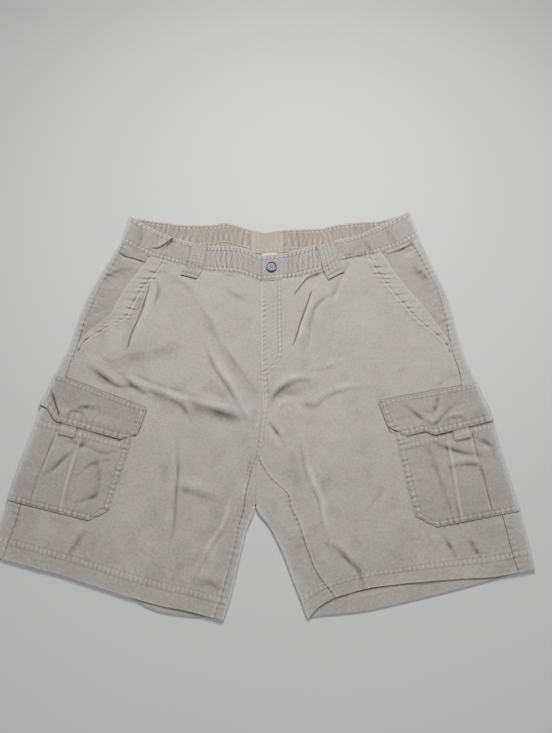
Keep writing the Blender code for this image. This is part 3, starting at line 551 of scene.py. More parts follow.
def front_wear_and_shade(leg, v, s):
    """Pale, worn lines of a front panel: its mouth, the row inside it, the fly's edge and the hem;
    and painted shade beside the belt loop, the pocket and the flap, along the facing's row and
    along the inseam's edge.
    """
    mouth, inner = (s - leg.mouth_s(v)) / MM, (leg.inner_s(v) - s) / MM
    width = facing_width(v)
    on_facing = 1 - ease(4.6, 5.2, v)
    # The row along the facing: pale beside it, painted shade in its line.
    rows = 0.3 * bump(mouth, width + 2, 1.4) - 0.7 * bump(mouth, width - 0.5, 1.1)
    wear_and_shade = on_facing * (0.95 * bump(mouth, 0.5, 1.4) + rows)
    if leg.side == "right":
        wear_and_shade = wear_and_shade + 1.4 * (1 - ease(5.0, 5.6, v)) * bump(inner, 0.4, 1.5)
    wear_and_shade = wear_and_shade - loop_shade(leg, v, s) * (1 - ease(0.6, 0.8, v))
    # Painted shade in the gap along the inseam's edge, darker on the right leg.
    inseam_shade = 1.9 if leg.side == "right" else 1.0
    inseam = 0.7 * bump(inner, 3.5, 1.4) - inseam_shade * bump(inner, 0.6, 1.3)
    wear_and_shade = wear_and_shade + ease(CROTCH_V, CROTCH_V + 0.4, v) * inseam
    return wear_and_shade + 0.8 * bump((HEM_V - v) * HEM_STEP, 0.8, 1.6) - gap_shade(leg, v, s)


def front_surface(leg, v, s):
    return leg.place(v, s, front_relief(leg, v, s))


def between(start, end, count):
    """So many places in even steps from start to end, along a row of a grid."""
    return start + (end - start) * np.linspace(0, 1, count)[None, :]


def blur(field, cells):
    """A field averaged over its neighbours within so many cells each way."""
    wide = np.pad(field, cells, mode="edge")
    for axis in (0, 1):
        sums = np.cumsum(np.insert(wide, 0, 0, axis), axis)
        ahead = np.take(sums, range(2 * cells + 1, sums.shape[axis]), axis)
        behind = np.take(sums, range(sums.shape[axis] - 2 * cells - 1), axis)
        wide = (ahead - behind) / (2 * cells + 1)
    return wide


def block(points, flat_x, flat_y, wear_and_shade=0.0):
    """A patch of cloth: its points, its flat coordinates, and a tone from how far each point stands
    out of its surroundings: wear pales what stands out and painted shade darkens what lies low. Its
    last argument adds worn lines and painted shade given by the caller."""
    level = points[..., 2]
    near, wide = level - blur(blur(level, 2), 2), level - blur(blur(level, 8), 8)
    proud = near / (0.34 * MM) + wide / (2.4 * MM)
    # Below zero the tone is painted shade in troughs and hollows; above zero it is wear.
    proud = np.where(proud > 0, 0.5 * proud, proud) + wear_and_shade
    flat = np.stack(np.broadcast_arrays(flat_x, flat_y), -1)
    return {"points": points, "flat": flat, "tone": np.clip(proud, -2.4, 1.3), "finish": 0}


def turned(patch, edge, cells, thickness, facing, finish=None, wear_and_shade=0.9, relief=None):
    """The cloth at one edge of a patch, rolled round and turned under by some cells. A
    relief is added to the face turned under, row by row from the edge."""
    ways = {"last_row": (0, 0), "first_row": (0, 1), "last_column": (1, 0), "first_column": (1, 1)}
    swap, reverse = ways[edge]
    facing = facing * (-1) ** (swap + reverse)
    grids = []
    for name in ("points", "flat", "tone"):
        grid = patch[name]
        grid = grid.swapaxes(0, 1) if swap else grid
        grids.append(grid[::-1] if reverse else grid)
    points, flat, tone = grids
    rows = points[-cells - 1 :]
    across, along = np.gradient(rows, axis=1), np.gradient(rows, axis=0)
    normal = facing * np.cross(across, along)
    normal /= np.linalg.norm(normal, axis=-1, keepdims=True)
    ahead = along[-1] - normal[-1] * (along[-1] * normal[-1]).sum(-1, keepdims=True)
    ahead /= np.linalg.norm(ahead, axis=-1, keepdims=True)
    radius = thickness / 2
    middle = rows[-1] - normal[-1] * radius
    roll = [rows[-1]]
    for angle in np.linspace(0, math.pi, 6)[1:-1]:
        roll.append(middle + radius * (normal[-1] * math.cos(angle) + ahead * math.sin(angle)))
    under, under_tone = (rows - normal * thickness)[::-1], tone[-cells - 1 :][::-1]
    if relief is not None:
        under = under - normal[::-1] * relief[..., None]
        # The turned face's hollows darken as painted shade, and its rises pale as wear.
        proud = relief - blur(blur(relief, 2), 2)
        under_tone = np.clip(under_tone + proud / (0.3 * MM), -2.4, 1.3)
    made = np.concatenate((np.array(roll), under))
    count = len(roll)
    flats = np.concatenate((np.repeat(flat[-1:], count, 0), flat[-cells - 1 :][::-1]))
    # The roll takes one tone: pale as wear where it is above zero, painted shade where it is below.
    tones = np.concatenate((np.full((count,) + tone.shape[1:], wear_and_shade), under_tone))
    finish = patch["finish"] if finish is None else finish
    return {"points": made, "flat": flats, "tone": tones, "finish": finish, "facing": facing}


def edged(patch, edges, cells, thickness, facing):
    """A patch, followed by the cloth turned under at each of its edges named."""
    return [patch] + [turned(patch, edge, cells, thickness, facing) for edge in edges]


SIDES = ("first_column", "last_column")
ALL_ROUND = ("last_row", "first_row") + SIDES


def cloth(name, patches, finishes, facing):
    """One mesh from patches that are welded where they meet."""
    points, flats, tones, quads, indices = [], [], [], [], []
    count = 0
    for patch in patches:
        rows, columns = patch["points"].shape[:2]
        number = np.arange(rows * columns).reshape(rows, columns)
        corners = (number[:-1, :-1], number[:-1, 1:], number[1:, 1:], number[1:, :-1])
        rings = np.stack(corners, -1).reshape(-1, 4)
        if patch.get("facing", facing) < 0:
            rings = rings[:, ::-1]
        quads.append(rings + count)
        indices.append(np.full(len(rings), patch["finish"]))
        points.append(patch["points"].reshape(-1, 3))
        flats.append(patch["flat"].reshape(-1, 2))
        tones.append(patch["tone"].reshape(-1))
        count += rows * columns
    points, quads = np.concatenate(points), np.concatenate(quads)
    _, first, weld = np.unique(np.round(points, 6), axis=0, return_index=True, return_inverse=True)
    rings = weld.reshape(-1)[quads]
    mesh = bpy.data.meshes.new(name)
    mesh.from_pydata(points[first].tolist(), [], rings.tolist())
    uv = mesh.uv_layers.new(name="weave")
    uv.data.foreach_set("uv", np.concatenate(flats)[quads.reshape(-1)].astype("f4").reshape(-1))
    tone = mesh.attributes.new("tone", "FLOAT", "POINT")
    tone.data.foreach_set("value", np.concatenate(tones)[first].astype("f4"))
    mesh.polygons.foreach_set("material_index", np.concatenate(indices).astype("i4"))
    mesh.shade_smooth()
    for finish in finishes:
        mesh.materials.append(finish)
    mesh.validate()
    made = bpy.data.objects.new(name, mesh)
    bpy.context.scene.collection.objects.link(made)
    return made


def node(tree, kind, joined=None, **settings):
    """A node with its settings, its sockets joined to the outputs given or set."""
    made = tree.nodes.new(kind)
    for name, value in settings.items():
        setattr(made, name, value)
    for name, value in (joined or {}).items():
        if isinstance(value, bpy.types.NodeSocket):
            tree.links.new(value, made.inputs[name])
        else:
            made.inputs[name].default_value = value
    return made


def noise(tree, coordinates, scale, detail=2):
    joined = {"Vector": coordinates, "Scale": scale, "Detail": detail}
    return node(tree, "ShaderNodeTexNoise", joined).outputs["Fac"]


def spread(tree, value, source, target=(0, 1)):
    """A value taken from its range to another one."""
    joined = {"Value": value, "From Min": source[0], "From Max": source[1]}
    joined.update({"To Min": target[0], "To Max": target[1]})
    return node(tree, "ShaderNodeMapRange", joined).outputs["Result"]


def mixed(tree, share, first, second):
    """Two colours mixed by a share of the second."""
    joined = {"Factor": share, 6: first, 7: second}
    return node(tree, "ShaderNodeMix", joined, data_type="RGBA").outputs[2]


def group(kind, name, inputs, outputs):
    """A node group with its sockets, its input node and its output node."""
    tree = bpy.data.node_groups.new(name, kind)
    for label, socket in inputs:
        tree.interface.new_socket(label, in_out="INPUT", socket_type=socket)
    for label, socket in outputs:
        tree.interface.new_socket(label, in_out="OUTPUT", socket_type=socket)
    return tree, tree.nodes.new("NodeGroupInput"), tree.nodes.new("NodeGroupOutput")


COLOUR, VALUE = "NodeSocketColor", "NodeSocketFloat"
washed_twill, given, result = group(
    "ShaderNodeTree",
    "washed_twill",
    (("Cloth", COLOUR), ("Worn", COLOUR), ("Shaded", COLOUR)),
    (("Colour", COLOUR), ("Roughness", VALUE), ("Height", VALUE)),
)
spot = node(washed_twill, "ShaderNodeTexCoord").outputs["Object"]
broad, patchy = noise(washed_twill, spot, 14, 4), noise(washed_twill, spot, 75, 3)
small = noise(washed_twill, spot, 300)
weave_uv = node(washed_twill, "ShaderNodeUVMap", uv_map="weave").outputs["UV"]
weave = node(
    washed_twill,
    "ShaderNodeTexWave",
    {"Vector": weave_uv, "Scale": 430, "Distortion": 1.2, "Detail": 2, "Detail Scale": 3},
    bands_direction="DIAGONAL",
).outputs["Fac"]
slub = noise(washed_twill, weave_uv, 900, 1)
# The tone attribute: above zero, wear pales the cloth towards Worn; below zero, painted shade
# darkens it towards Shaded.
tone = node(washed_twill, "ShaderNodeAttribute", attribute_name="tone").outputs["Fac"]
pale, dark = spread(washed_twill, tone, (0.15, 1.5)), spread(washed_twill, tone, (-0.1, -2.4))
worn = mixed(washed_twill, pale, given.outputs["Cloth"], given.outputs["Worn"])
shaded = mixed(washed_twill, dark, worn, given.outputs["Shaded"])
mottle = spread(washed_twill, broad, (0.3, 0.7), (0.91, 1.08))
for shade in (
    spread(washed_twill, patchy, (0.3, 0.7), (0.95, 1.045)),
    spread(washed_twill, small, (0.3, 0.7), (0.88, 1.12)),
    spread(washed_twill, weave, (0, 1), (0.93, 1.04)),
):
    product = node(washed_twill, "ShaderNodeMath", {0: mottle, 1: shade}, operation="MULTIPLY")
    mottle = product.outputs["Value"]
joined = {0: shaded, "Scale": mottle}
evened = node(washed_twill, "ShaderNodeVectorMath", joined, operation="SCALE")
warmth = spread(washed_twill, noise(washed_twill, spot, 30, 3), (0.32, 0.68))
cast = mixed(washed_twill, warmth, (0.988, 1.002, 1.012, 1), (1.018, 0.998, 0.966, 1))
joined = {0: evened.outputs["Vector"], 1: cast}
tinted = node(washed_twill, "ShaderNodeVectorMath", joined, operation="MULTIPLY")
threads = node(washed_twill, "ShaderNodeMath", {0: weave, 1: slub}, operation="ADD")
rough = spread(washed_twill, small, (0, 1), (0.82, 0.97))
washed_twill.links.new(tinted.outputs["Vector"], result.inputs["Colour"])
washed_twill.links.new(rough, result.inputs["Roughness"])
washed_twill.links.new(threads.outputs["Value"], result.inputs["Height"])


def material(name, constants):
    """A material, its node tree and its shader, with constants on the shader's sockets."""
    made = bpy.data.materials.new(name)
    made.use_nodes = True
    shader = made.node_tree.nodes["Principled BSDF"]
    for socket, value in constants.items():
        shader.inputs[socket].default_value = value
    return made, made.node_tree, shader


TWILL_FINISH = {"Sheen Weight": 0.12, "Sheen Roughness": 0.5, "Specular IOR Level": 0.15}


def twill(name, *colours):
    """A matte cotton twill with soft sheen: its colour, that of its worn crests, paler, and that of
    its troughs and gaps, darker as painted shade."""
    made, tree, shader = material(name, TWILL_FINISH)
    washed = node(tree, "ShaderNodeGroup", node_tree=washed_twill)
    for socket, colour in zip(("Cloth", "Worn", "Shaded"), colours):
        washed.inputs[socket].default_value = (*colour, 1)
    joined = {"Height": washed.outputs["Height"], "Strength": 0.5, "Distance": 0.00012}
    relief = node(tree, "ShaderNodeBump", joined)
    tree.links.new(washed.outputs["Colour"], shader.inputs["Base Color"])
    tree.links.new(washed.outputs["Roughness"], shader.inputs["Roughness"])
    tree.links.new(relief.outputs["Normal"], shader.inputs["Normal"])
    return made


def drifting(name, pattern, first, second, constants, rough=None, kind="ShaderNodeTexNoise"):
    """A plain material that drifts between two colours along a pattern of its own."""
    made, tree, shader = material(name, constants)
    spot = node(tree, "ShaderNodeTexCoord").outputs["Object"]
    drift = node(tree, kind, {"Vector": spot, **pattern}).outputs["Fac"]
    tint = mixed(tree, drift, (*first, 1), (*second, 1))
    tree.links.new(tint, shader.inputs["Base Color"])
    if rough:
        tree.links.new(spread(tree, drift, (0, 1), rough), shader.inputs["Roughness"])
    return made


SHELL = twill("shell_twill", (0.437, 0.399, 0.354), (0.72, 0.69, 0.64), (0.12, 0.105, 0.09))


THREAD = drifting(
    "twill_thread",
    {"Scale": 260, "Detail": 2},
    (0.33, 0.30, 0.25),
    (0.58, 0.54, 0.47),
    {"Roughness": 0.8, "Specular IOR Level": 0.2},
)
STITCH_PITCH, STITCH_LENGTH, THREAD_WIDTH = 3.1 * MM, 2.3 * MM, 0.55 * MM
SURFACE_OUT = 0.15 * MM  # thread over the cloth
GEOMETRY = "NodeSocketGeometry"
stitch_rows, rows, rows_out = group(
    "GeometryNodeTree",
    "stitch_rows",
    (
        ("Rows", GEOMETRY),
        ("Pitch", VALUE),
        ("Stitch Length", VALUE),
        ("Thread Width", VALUE),
        ("Thread", "NodeSocketMaterial"),
    ),
    (("Stitches", GEOMETRY),),
)
path = node(stitch_rows, "GeometryNodeMeshToCurve", {"Mesh": rows.outputs["Rows"]})
joined = {"Curve": path.outputs["Curve"], "Length": rows.outputs["Pitch"]}
spots = node(stitch_rows, "GeometryNodeCurveToPoints", joined, mode="LENGTH")
bead = node(stitch_rows, "GeometryNodeMeshUVSphere", {"Segments": 6, "Rings": 3, "Radius": 0.5})
joined = {"Vector": spots.outputs["Tangent"]}
lying = node(stitch_rows, "FunctionNodeAlignRotationToVector", joined, axis="Z")
wide, long = rows.outputs["Thread Width"], rows.outputs["Stitch Length"]
size = node(stitch_rows, "ShaderNodeCombineXYZ", {"X": wide, "Y": wide, "Z": long})
beads = node(
    stitch_rows,
    "GeometryNodeInstanceOnPoints",
    {
        "Points": spots.outputs["Points"],
        "Instance": bead.outputs["Mesh"],
        "Rotation": lying.outputs["Rotation"],
        "Scale": size.outputs["Vector"],
    },
)
joined = {"Geometry": beads.outputs["Instances"]}
whole = node(stitch_rows, "GeometryNodeRealizeInstances", joined)
soft = node(stitch_rows, "GeometryNodeSetShadeSmooth", {"Geometry": whole.outputs["Geometry"]})
joined = {"Geometry": soft.outputs["Geometry"], "Material": rows.outputs["Thread"]}
done = node(stitch_rows, "GeometryNodeSetMaterial", joined)
stitch_rows.links.new(done.outputs["Geometry"], rows_out.inputs["Stitches"])


def over(points, height=SURFACE_OUT):
    """Points of a stitch row, raised from the surface that they were read from."""
    return points + (0, 0, height)


def stitches(name, lines):
    """Rows of thread along lines of points, each stitch a small capsule."""
    points = np.concatenate(lines)
    edges, start = [], 0
    for line in lines:
        edges += [(start + i, start + i + 1) for i in range(len(line) - 1)]
        start += len(line)
    path = bpy.data.meshes.new(name)
    path.from_pydata(points.tolist(), edges, [])
    made = bpy.data.objects.new(name, path)
    bpy.context.scene.collection.objects.link(made)
    rule = made.modifiers.new("stitch_rows", "NODES")
    rule.node_group = stitch_rows
    sockets = {item.name: item.identifier for item in stitch_rows.interface.items_tree}
    rule[sockets["Pitch"]] = STITCH_PITCH
    rule[sockets["Stitch Length"]] = STITCH_LENGTH
    rule[sockets["Thread Width"]] = THREAD_WIDTH
    rule[sockets["Thread"]] = THREAD
    ready = made.evaluated_get(bpy.context.evaluated_depsgraph_get())
    mesh = bpy.data.meshes.new_from_object(ready)
    made.modifiers.remove(rule)
    made.data = mesh
    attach(made, "root")


# Each front panel, with its turned edges and hem, and its rows of stitches.
for leg in legs:
    v = np.linspace(0.012, HEM_EDGE_V, FRONT_GRID[0])[:, None]
    s = between(leg.mouth_s(v) + EDGE_IN, leg.inner_s(v) - EDGE_IN, FRONT_GRID[1])
    points = front_surface(leg, v, s)
    shade = crease_shade(points, CREASES)
    shade = shade * (1 - leg.cover(v, np.maximum(s, 0), CREASES_FADE))
    main = block(points, s, -leg.down(v) * MM, front_wear_and_shade(leg, v, s) - shade)
    patches = edged(main, SIDES, 4, FINE, leg.facing)
    patches.append(turned(main, "last_row", HEM_CELLS, HEM_CLOTH, leg.facing))
    patches.append(turned(main, "first_row", 2, FINE, leg.facing))
    made = cloth(f"front_{leg.side}_twill", patches, [SHELL], leg.facing)
    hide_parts(f"front_{leg.side}")
    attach(made, "root")
    lines = []
    for at in HEM_ROWS_V:
        v = np.full(240, at)
        s = np.linspace(leg.mouth_s(v)[0] + 2 * MM, leg.inner_s(v)[0] - 2 * MM, 240)
        lines.append(over(front_surface(leg, v, s)))
    v = np.linspace(0.05, 5.3, 160)
    for inset in (facing_width(v), 2.2):
        lines.append(over(front_surface(leg, v, leg.mouth_s(v) + inset * MM)))
    if leg.side == "right":
        v = np.linspace(3.9, 7.0, 100)
        for inset in (2.5, 8):
            lines.append(over(front_surface(leg, v, leg.inner_s(v) - inset * MM)))
        v = np.linspace(0.05, 4.2, 300)
        at = FLY_TOP_Y - leg.section(v)["top_y"] / MM
        drop = np.maximum(at - (FLY_LENGTH - FLY_WIDTH), 0)
        for radius in (FLY_WIDTH, FLY_WIDTH - 4.5):
            on_row = drop < radius
            reach = np.sqrt(radius**2 - drop[on_row] ** 2)
            s = leg.inner_s(v[on_row]) - reach * MM
            lines.append(over(front_surface(leg, v[on_row], s)))
    stitches(f"front_{leg.side}_stitches", lines)


def back_relief(leg, v, s):
    """Seams and hem of a back panel. Under the garment only dents, so that it lies flat."""
    row = leg.section(v)
    down, across = leg.down(v), s / MM
    from_side = np.maximum(leg.seam_s(v) - s, 0) / MM
    near_inseam = np.where(s > 0, np.exp(-np.maximum(s - leg.inner_s(v), 0) / MM / 7), 0)
    near_inseam = near_inseam * (s > row["top_span"] * 0.5)
    strip = np.exp(-from_side / 8) * (s < row["top_span"] * 0.5)
    total = strip * (0.5 * gathers(down, 8.2, 5) - 0.15)
    total = total + near_inseam * (0.3 * gathers(down, 8, 9) - 0.2)
    above = (HEM_V - v) * HEM_STEP
    total = total + 0.25 * (1 - ease(30, 34, above))
    total = total + 1.1 * double_row(above, *HEM_ROWS, across, 6.6, 6)
    under = s < -row["bend"]
    dents = np.sin(across / 23 + down / 41) * np.sin(down / 29 - across / 67)
    return np.where(under, np.minimum(total - 0.4, 0) - 0.3 * (1 + dents), total) * MM


def back_surface(leg, v, s):
    return leg.place(v, s, back_relief(leg, v, s))


def inner_fold(leg, v, turn):
    """The inner fold below the gap's start: turn 0 is on top, pi underneath."""
    row = leg.section(v)
    radius = row["inner_fold"]
    reach = row["top_long"] - radius + radius * np.sin(turn)
    x, y = row["side_x"] + row["top_dx"] * reach, row["side_y"] + row["top_dy"] * reach
    return np.stack((x, y + CENTRING, radius + radius * np.cos(turn)), -1)


UPPER_ROWS = 190  # rows of the grid down to the gap between the legs
FOLD_CELLS, FOLD_CELL = 8, 3 * MM  # round the inner fold
for leg in legs:
    above_apex = np.linspace(0.02, APEX_V, UPPER_ROWS)
    below_apex = np.linspace(APEX_V, HEM_EDGE_V, 110)
    v = np.concatenate((above_apex, below_apex[1:]))[:, None]
    row = leg.section(v)
    strip = (leg.seam_s(v) - EDGE_IN) * np.linspace(1, 0, 15)
    bend = -row["bend"] * np.linspace(0, 1, 9)[1:]
    bottom = -row["bend"] - row["under_span"] * np.linspace(0, 1, 56)[1:]
    s = np.concatenate((strip, bend, bottom), 1)
    points = back_surface(leg, v, s)
    lower = slice(UPPER_ROWS - 1, None)
    rolled = inner_fold(leg, v[lower], between(math.pi, 0, FOLD_CELLS + 1))
    strip_s = between(row["top_span"], leg.inner_s(v) + EDGE_IN, 20)
    strip_points = back_surface(leg, v, strip_s)
    rolled[:, -1] = strip_points[lower, 0]
    rolled[:, 0] = points[lower, -1]
    whole = np.concatenate((points[lower], rolled[:, 1:], strip_points[lower, 1:]), 1)
    round_fold = s[lower, -1:] - FOLD_CELL * np.arange(1, FOLD_CELLS + 1)
    flat_x = np.concatenate((s[lower], round_fold, 0.0 - strip_s[lower, 1:]), 1)
    flat_y = -leg.down(v) * MM
    upper = block(points[:UPPER_ROWS], s[:UPPER_ROWS], flat_y[:UPPER_ROWS])
    lower_part = block(whole, flat_x, flat_y[lower])
    past_crotch = slice(np.searchsorted(v[:, 0], CROTCH_V + 0.02), UPPER_ROWS)
    bridge = block(strip_points[past_crotch], -strip_s[past_crotch], flat_y[past_crotch])
    facing = -leg.facing
    patches = [upper, lower_part, bridge]
    patches += [turned(part, "first_column", 4, FINE, facing) for part in (upper, lower_part)]
    patches += [turned(part, "last_column", 4, FINE, facing) for part in (bridge, lower_part)]
    patches.append(turned(lower_part, "last_row", HEM_CELLS, HEM_CLOTH, facing))
    patches.append(turned(upper, "first_row", 3, FINE, facing))
    made = cloth(f"back_{leg.side}_twill", patches, [SHELL], facing)
    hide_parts(f"back_{leg.side}")
    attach(made, "root")

# ---------------------------------------------------------------------------
# Slant pockets: the pocket's side piece of twill, seen in its mouth between the
# side seam and the front panel, under which it runs on.
MOUTH_LAP = 14 * MM
SIDE_IN = GAP * 1.5  # from the side seam's line to the piece
POCKET_SIDE_CREASES = (
    (2.0, 0.8, 7, -1, ((-238, 238), (-226, 231), (-211, 227), (-191, 220))),
    (2.0, 0.8, 7, 1, ((203, 236), (223, 243), (236, 250), (250, 258))),
    (0.9, 0.5, 9, 1, ((-262, 190), (-250, 200), (-232, 208), (-214, 209))),
    (0.7, 0.5, 9, -1, ((268, 186), (258, 202), (242, 214))),
)
WORN_EDGE = (0.66, 0.63, 0.585)  # also of the cargo pockets and the flaps
# The side piece: a darker, warmer copy of the shell's twill, darker as painted shade in the
# pocket's mouth.
SIDE_TWILL_PAINTED_SHADE = twill("pocket_side_twill_painted_shade", (0.352, 0.312, 0.268), WORN_EDGE, (0.10, 0.09, 0.08))


def pocket_side_surface(leg, v, s):
    """Its outer surface, sewn in at the side seam and the band, and lower under the front."""
    seam, mouth = leg.seam_s(v) + SIDE_IN, leg.mouth_s(v)
    under = -(CLOTH + LAY_GAP)
    at_seam = under * (1 - ease(3 * MM, 18 * MM, mouth - seam))
    share = np.clip((s - seam) / np.maximum(mouth - seam, 0.5 * MM), 0, 1)
    out = at_seam + (under - at_seam) * share**2
    sewn_to_band = (1 - ease(0.1, 0.7, v)) * (1 - ease(-14 * MM, -4 * MM, s - mouth))
    out = out * (1 - sewn_to_band)
    down, from_seam = leg.down(v), (s - seam) / MM
    draw = (0.5 * gathers(down, 8.2, 5) - 0.3) * np.exp(-from_seam / 7)
    soft = 0.5 * gathers(down + 0.7 * from_seam, 27, 31) * share * (1 - share) * 4
    drawn = np.abs(gathers(down - 0.25 * from_seam, 30, 37)) ** 0.4 - 0.8
    soft = soft + 0.9 * np.minimum(drawn, 0) * bump(from_seam, 12, 11)
    points = leg.place(v, s, out + (draw + soft) * MM * (1 - 0.7 * share))
    creases = drawn_creases(points[..., 0], points[..., 1], POCKET_SIDE_CREASES)
    points[..., 2] += np.minimum(creases, 0.3) * MM * (1 - ease(-4 * MM, 2 * MM, s - mouth))
    return points


for leg in legs:
    v = np.linspace(0.02, 4.8, 140)[:, None]
    start = leg.seam_s(v) + SIDE_IN + CLOTH / 2
    s = between(start, leg.mouth_s(v) + MOUTH_LAP, 50)
    points = pocket_side_surface(leg, v, s)
    main = block(points, s, -leg.down(v) * MM, -crease_shade(points, POCKET_SIDE_CREASES))
    patches = [main, turned(main, "first_column", 4, CLOTH, leg.facing)]
    patches.append(turned(main, "first_row", 2, CLOTH, leg.facing))
    made = cloth(f"pocket_side_{leg.side}_twill", patches, [SIDE_TWILL_PAINTED_SHADE], leg.facing)
    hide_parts(f"pocket_side_{leg.side}")
    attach(made, "root")

# ---------------------------------------------------------------------------
# Fly facing: a strip of twill behind the right front, with a curved lower end,
# sewn down by the J-shaped rows.
top_v = np.array([0.03, 0.6, 1.2, 1.8, 2.4, 2.9, 3.25, 3.5, 3.7, 3.85, 3.95])[:, None]
fly_row = right.section(top_v)
past = FLY_TOP_Y - fly_row["top_y"] / MM - (FLY_LENGTH - FLY_WIDTH)
past = np.maximum(past, 0) / FLY_WIDTH
fly_span = (FLY_WIDTH - 1) * MM * np.sqrt(np.maximum(0.03, 1 - past * past))
s = fly_row["top_span"] - MM - fly_span * np.linspace(1, 0, 8)[None, :]
points = right.place(top_v, s, -CLOTH - LAY_GAP)
main = block(points, s, -right.down(top_v) * MM)
made = cloth("fly_facing_twill", [main, turned(main, "last_column", 1, CLOTH, 1)], [SHELL], 1)
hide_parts("fly_facing")
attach(made, "root")

# ---------------------------------------------------------------------------
# Waistband: two strips of doubled, interfaced twill from the fly round each side,
# and a plainer centre-back piece between them. Both edges are topstitched, and
# the cloth between the rows is drawn up. Its inside, a tanner twill, shows behind.
BAND_CLOTH = 2.0 * MM
BAND_PROUD = 0.7 * MM  # over the panel at their seam
BAND_CROWN = 0.8 * MM  # top edge over lower edge
BAND_LAP_RISE = 2.4 * MM  # right band over the end of the left band
BAND_LAP = 26 * MM
BACK_PIECE_LEFT = 21 * MM
BACK_PIECE_RIGHT = 32 * MM
BAND_DEPTH = 44  # millimetres
# The band's face: a darker copy of the shell's twill, as painted shade against the key light that
# falls strongest on the band.
BAND_TWILL_PAINTED_SHADE = twill("waistband_twill", (0.325, 0.294, 0.259), (0.69, 0.65, 0.59), (0.09, 0.08, 0.07))
BAND_INSIDE = twill(
    "waistband_inside", (0.308, 0.257, 0.204), (0.60, 0.54, 0.445), (0.10, 0.08, 0.06)
)
BACK_PIECE_INSIDE = twill(
    "centre_back_inside", (0.43, 0.352, 0.25), (0.66, 0.59, 0.46), (0.16, 0.13, 0.09)
)


def waist(leg, name, share):
    return column(WAIST, WAIST_COLUMNS, name, np.clip(share, 0, 1)) * MM


def band_place(leg, s, up, out=0.0):
    """The waistband's outer surface: up is 0 at its lower edge and 1 at its top edge."""
    v = np.zeros_like(s)
    row = leg.section(v)
    on_top, on_bend = s >= 0, s > -row["bend"]
    low = leg.place(v, s, np.where(on_top | ~on_bend, 0, out))
    share = np.where(on_top, s / row["top_span"], 0)
    lean, depth = waist(leg, f"{leg.side}_lean", share), waist(leg, f"{leg.side}_depth", share)
    run = np.maximum(-s - row["bend"], 0) / row["under_span"]
    under_lean = lean * waist(leg, "under_lean", run) / waist(leg, "under_lean", 0)
    lean = np.where(on_top, lean, under_lean)
    depth = np.where(on_bend, depth, waist(leg, "under_depth", run))
    proud = BAND_PROUD + BAND_CROWN * up
    rise = proud + out
    if leg.side == "right":
        rise = rise + BAND_LAP_RISE * (1 - ease(BAND_LAP, BAND_LAP + 22 * MM, low[..., 0] + 4 * MM))
        rise = rise - leg.fly_rise(row, low[..., 0], low[..., 1] - CENTRING)
    turn = np.clip(-s / row["fold"], 0, math.pi)
    rise = np.where(on_top, rise, np.where(on_bend, proud * (1 - turn / math.pi), -out))
    return low + np.stack((lean * up, depth * up, rise), -1)


def band_relief(x, s, up, under):
    """Topstitching and puckers of the band, in metres. x is across the garment, in metres,
    and only matters on top."""
    low, high, across = up * BAND_DEPTH, (1 - up) * BAND_DEPTH, s / MM
    strong = np.maximum(bump(x / MM, -62, 30), bump(x / MM, 76, 32))
    strong = np.where(under, 0.45, strong)
    sway = across + 2.5 * np.sin(low / 7 + across / 31)
    narrow = np.abs(gathers(sway, 13, 21)) ** 0.5 - 0.7
    total = (0.1 + 0.85 * strong) * np.sin(math.pi * np.clip(up, 0, 1)) ** 0.6 * narrow
    total = total + (0.12 + 0.3 * strong) * gathers(sway + 0.3 * low, 8.6, 23)
    total = total + 1.5 * double_row(low, 2.5, 8.5, across, 6.8, 3)
    total = total + 1.5 * double_row(high, 1.8, 6.8, across, 7.2, 4)
    return np.where(under, np.minimum(total - 0.75, 0), total) * MM


BAND_CREASES = (
    (1.7, 0.9, 6, 1, ((-184, 246), (-173, 247), (-163, 254), (-154, 263), (-149, 269))),
    (1.7, 0.5, 5, 1, ((-160, 252), (-154, 258), (-150, 266))),
    (1.3, 0.9, 6, 1, ((126, 225), (148, 232), (169, 237))),
    (0.6, 0.5, 6, -1, ((122, 244), (138, 234), (158, 247))),
    (0.6, 0.5, 6, 1, ((169, 257), (176, 244), (183, 231))),
    (0.5, 0.6, 9, 1, ((205, 281), (212, 268), (219, 254))),
    (0.5, 0.6, 9, 1, ((-207, 283), (-203, 266), (-208, 248))),
    (0.5, 0.5, 6, 1, ((-123, 252), (-118, 236), (-123, 220))),
)


def band_surface(leg, up, s):
    """The band's outer surface with its relief; the left band runs on under the right one."""
    up, s = np.broadcast_arrays(up, s)
    row = leg.section(0.0)
    past = np.maximum(s - row["top_span"], 0)
    kept = s - past
    x = band_place(leg, kept, up)[..., 0]
    points = band_place(leg, kept, up, band_relief(x, kept, up, s < -row["bend"]))
    points = creased(points, BAND_CREASES, s > 0)
    if leg.side == "right":
        return points
    other = band_place(right, right.section(0.0)["top_span"] - past, up)
    fly_z = left.place(np.zeros(1), np.array([row["top_span"]]))[0, 2] + BAND_PROUD
    other[..., 2] = fly_z + BAND_CROWN * up
    return np.where((past > 0)[..., None], other, points)


def under_s(leg, x):
    """The s at which the bottom layer's waist seam reaches x."""
    row = leg.section(0.0)
    share = ((row["side_x"] - x) / -row["under_dx"] - row["fold"]) / row["under_span"]
    return -row["bend"] - row["under_span"] * share


BAND_CELL = 1.3 * MM
LINING_ROWS = 40  # rows of the grid that are turned down inside
ups = np.linspace(1, 0.01, 41)[:, None]  # the band's rows, from its top edge down


def inside_relief(across, puckers):
    """Rows and puckers on the band's inside, from its top edge down. across is in mm."""
    across, high = np.broadcast_arrays(across, (1 - ups) * BAND_DEPTH)
    rows = double_row(high, 3.4, 7.4, across, 7.0, 9) + double_row(high, 34, 39, across, 6.6, 6)
    smudge = np.minimum(gathers(across + 2 * np.sin(high / 6), 11, 33), 0.1)
    draw = smudge * (0.25 * bump(high, 12, 5) + 0.6 * bump(high, 29, 5) + 0.15)
    return (0.7 * rows + puckers * draw) * ease(0, 2.5, high) * MM


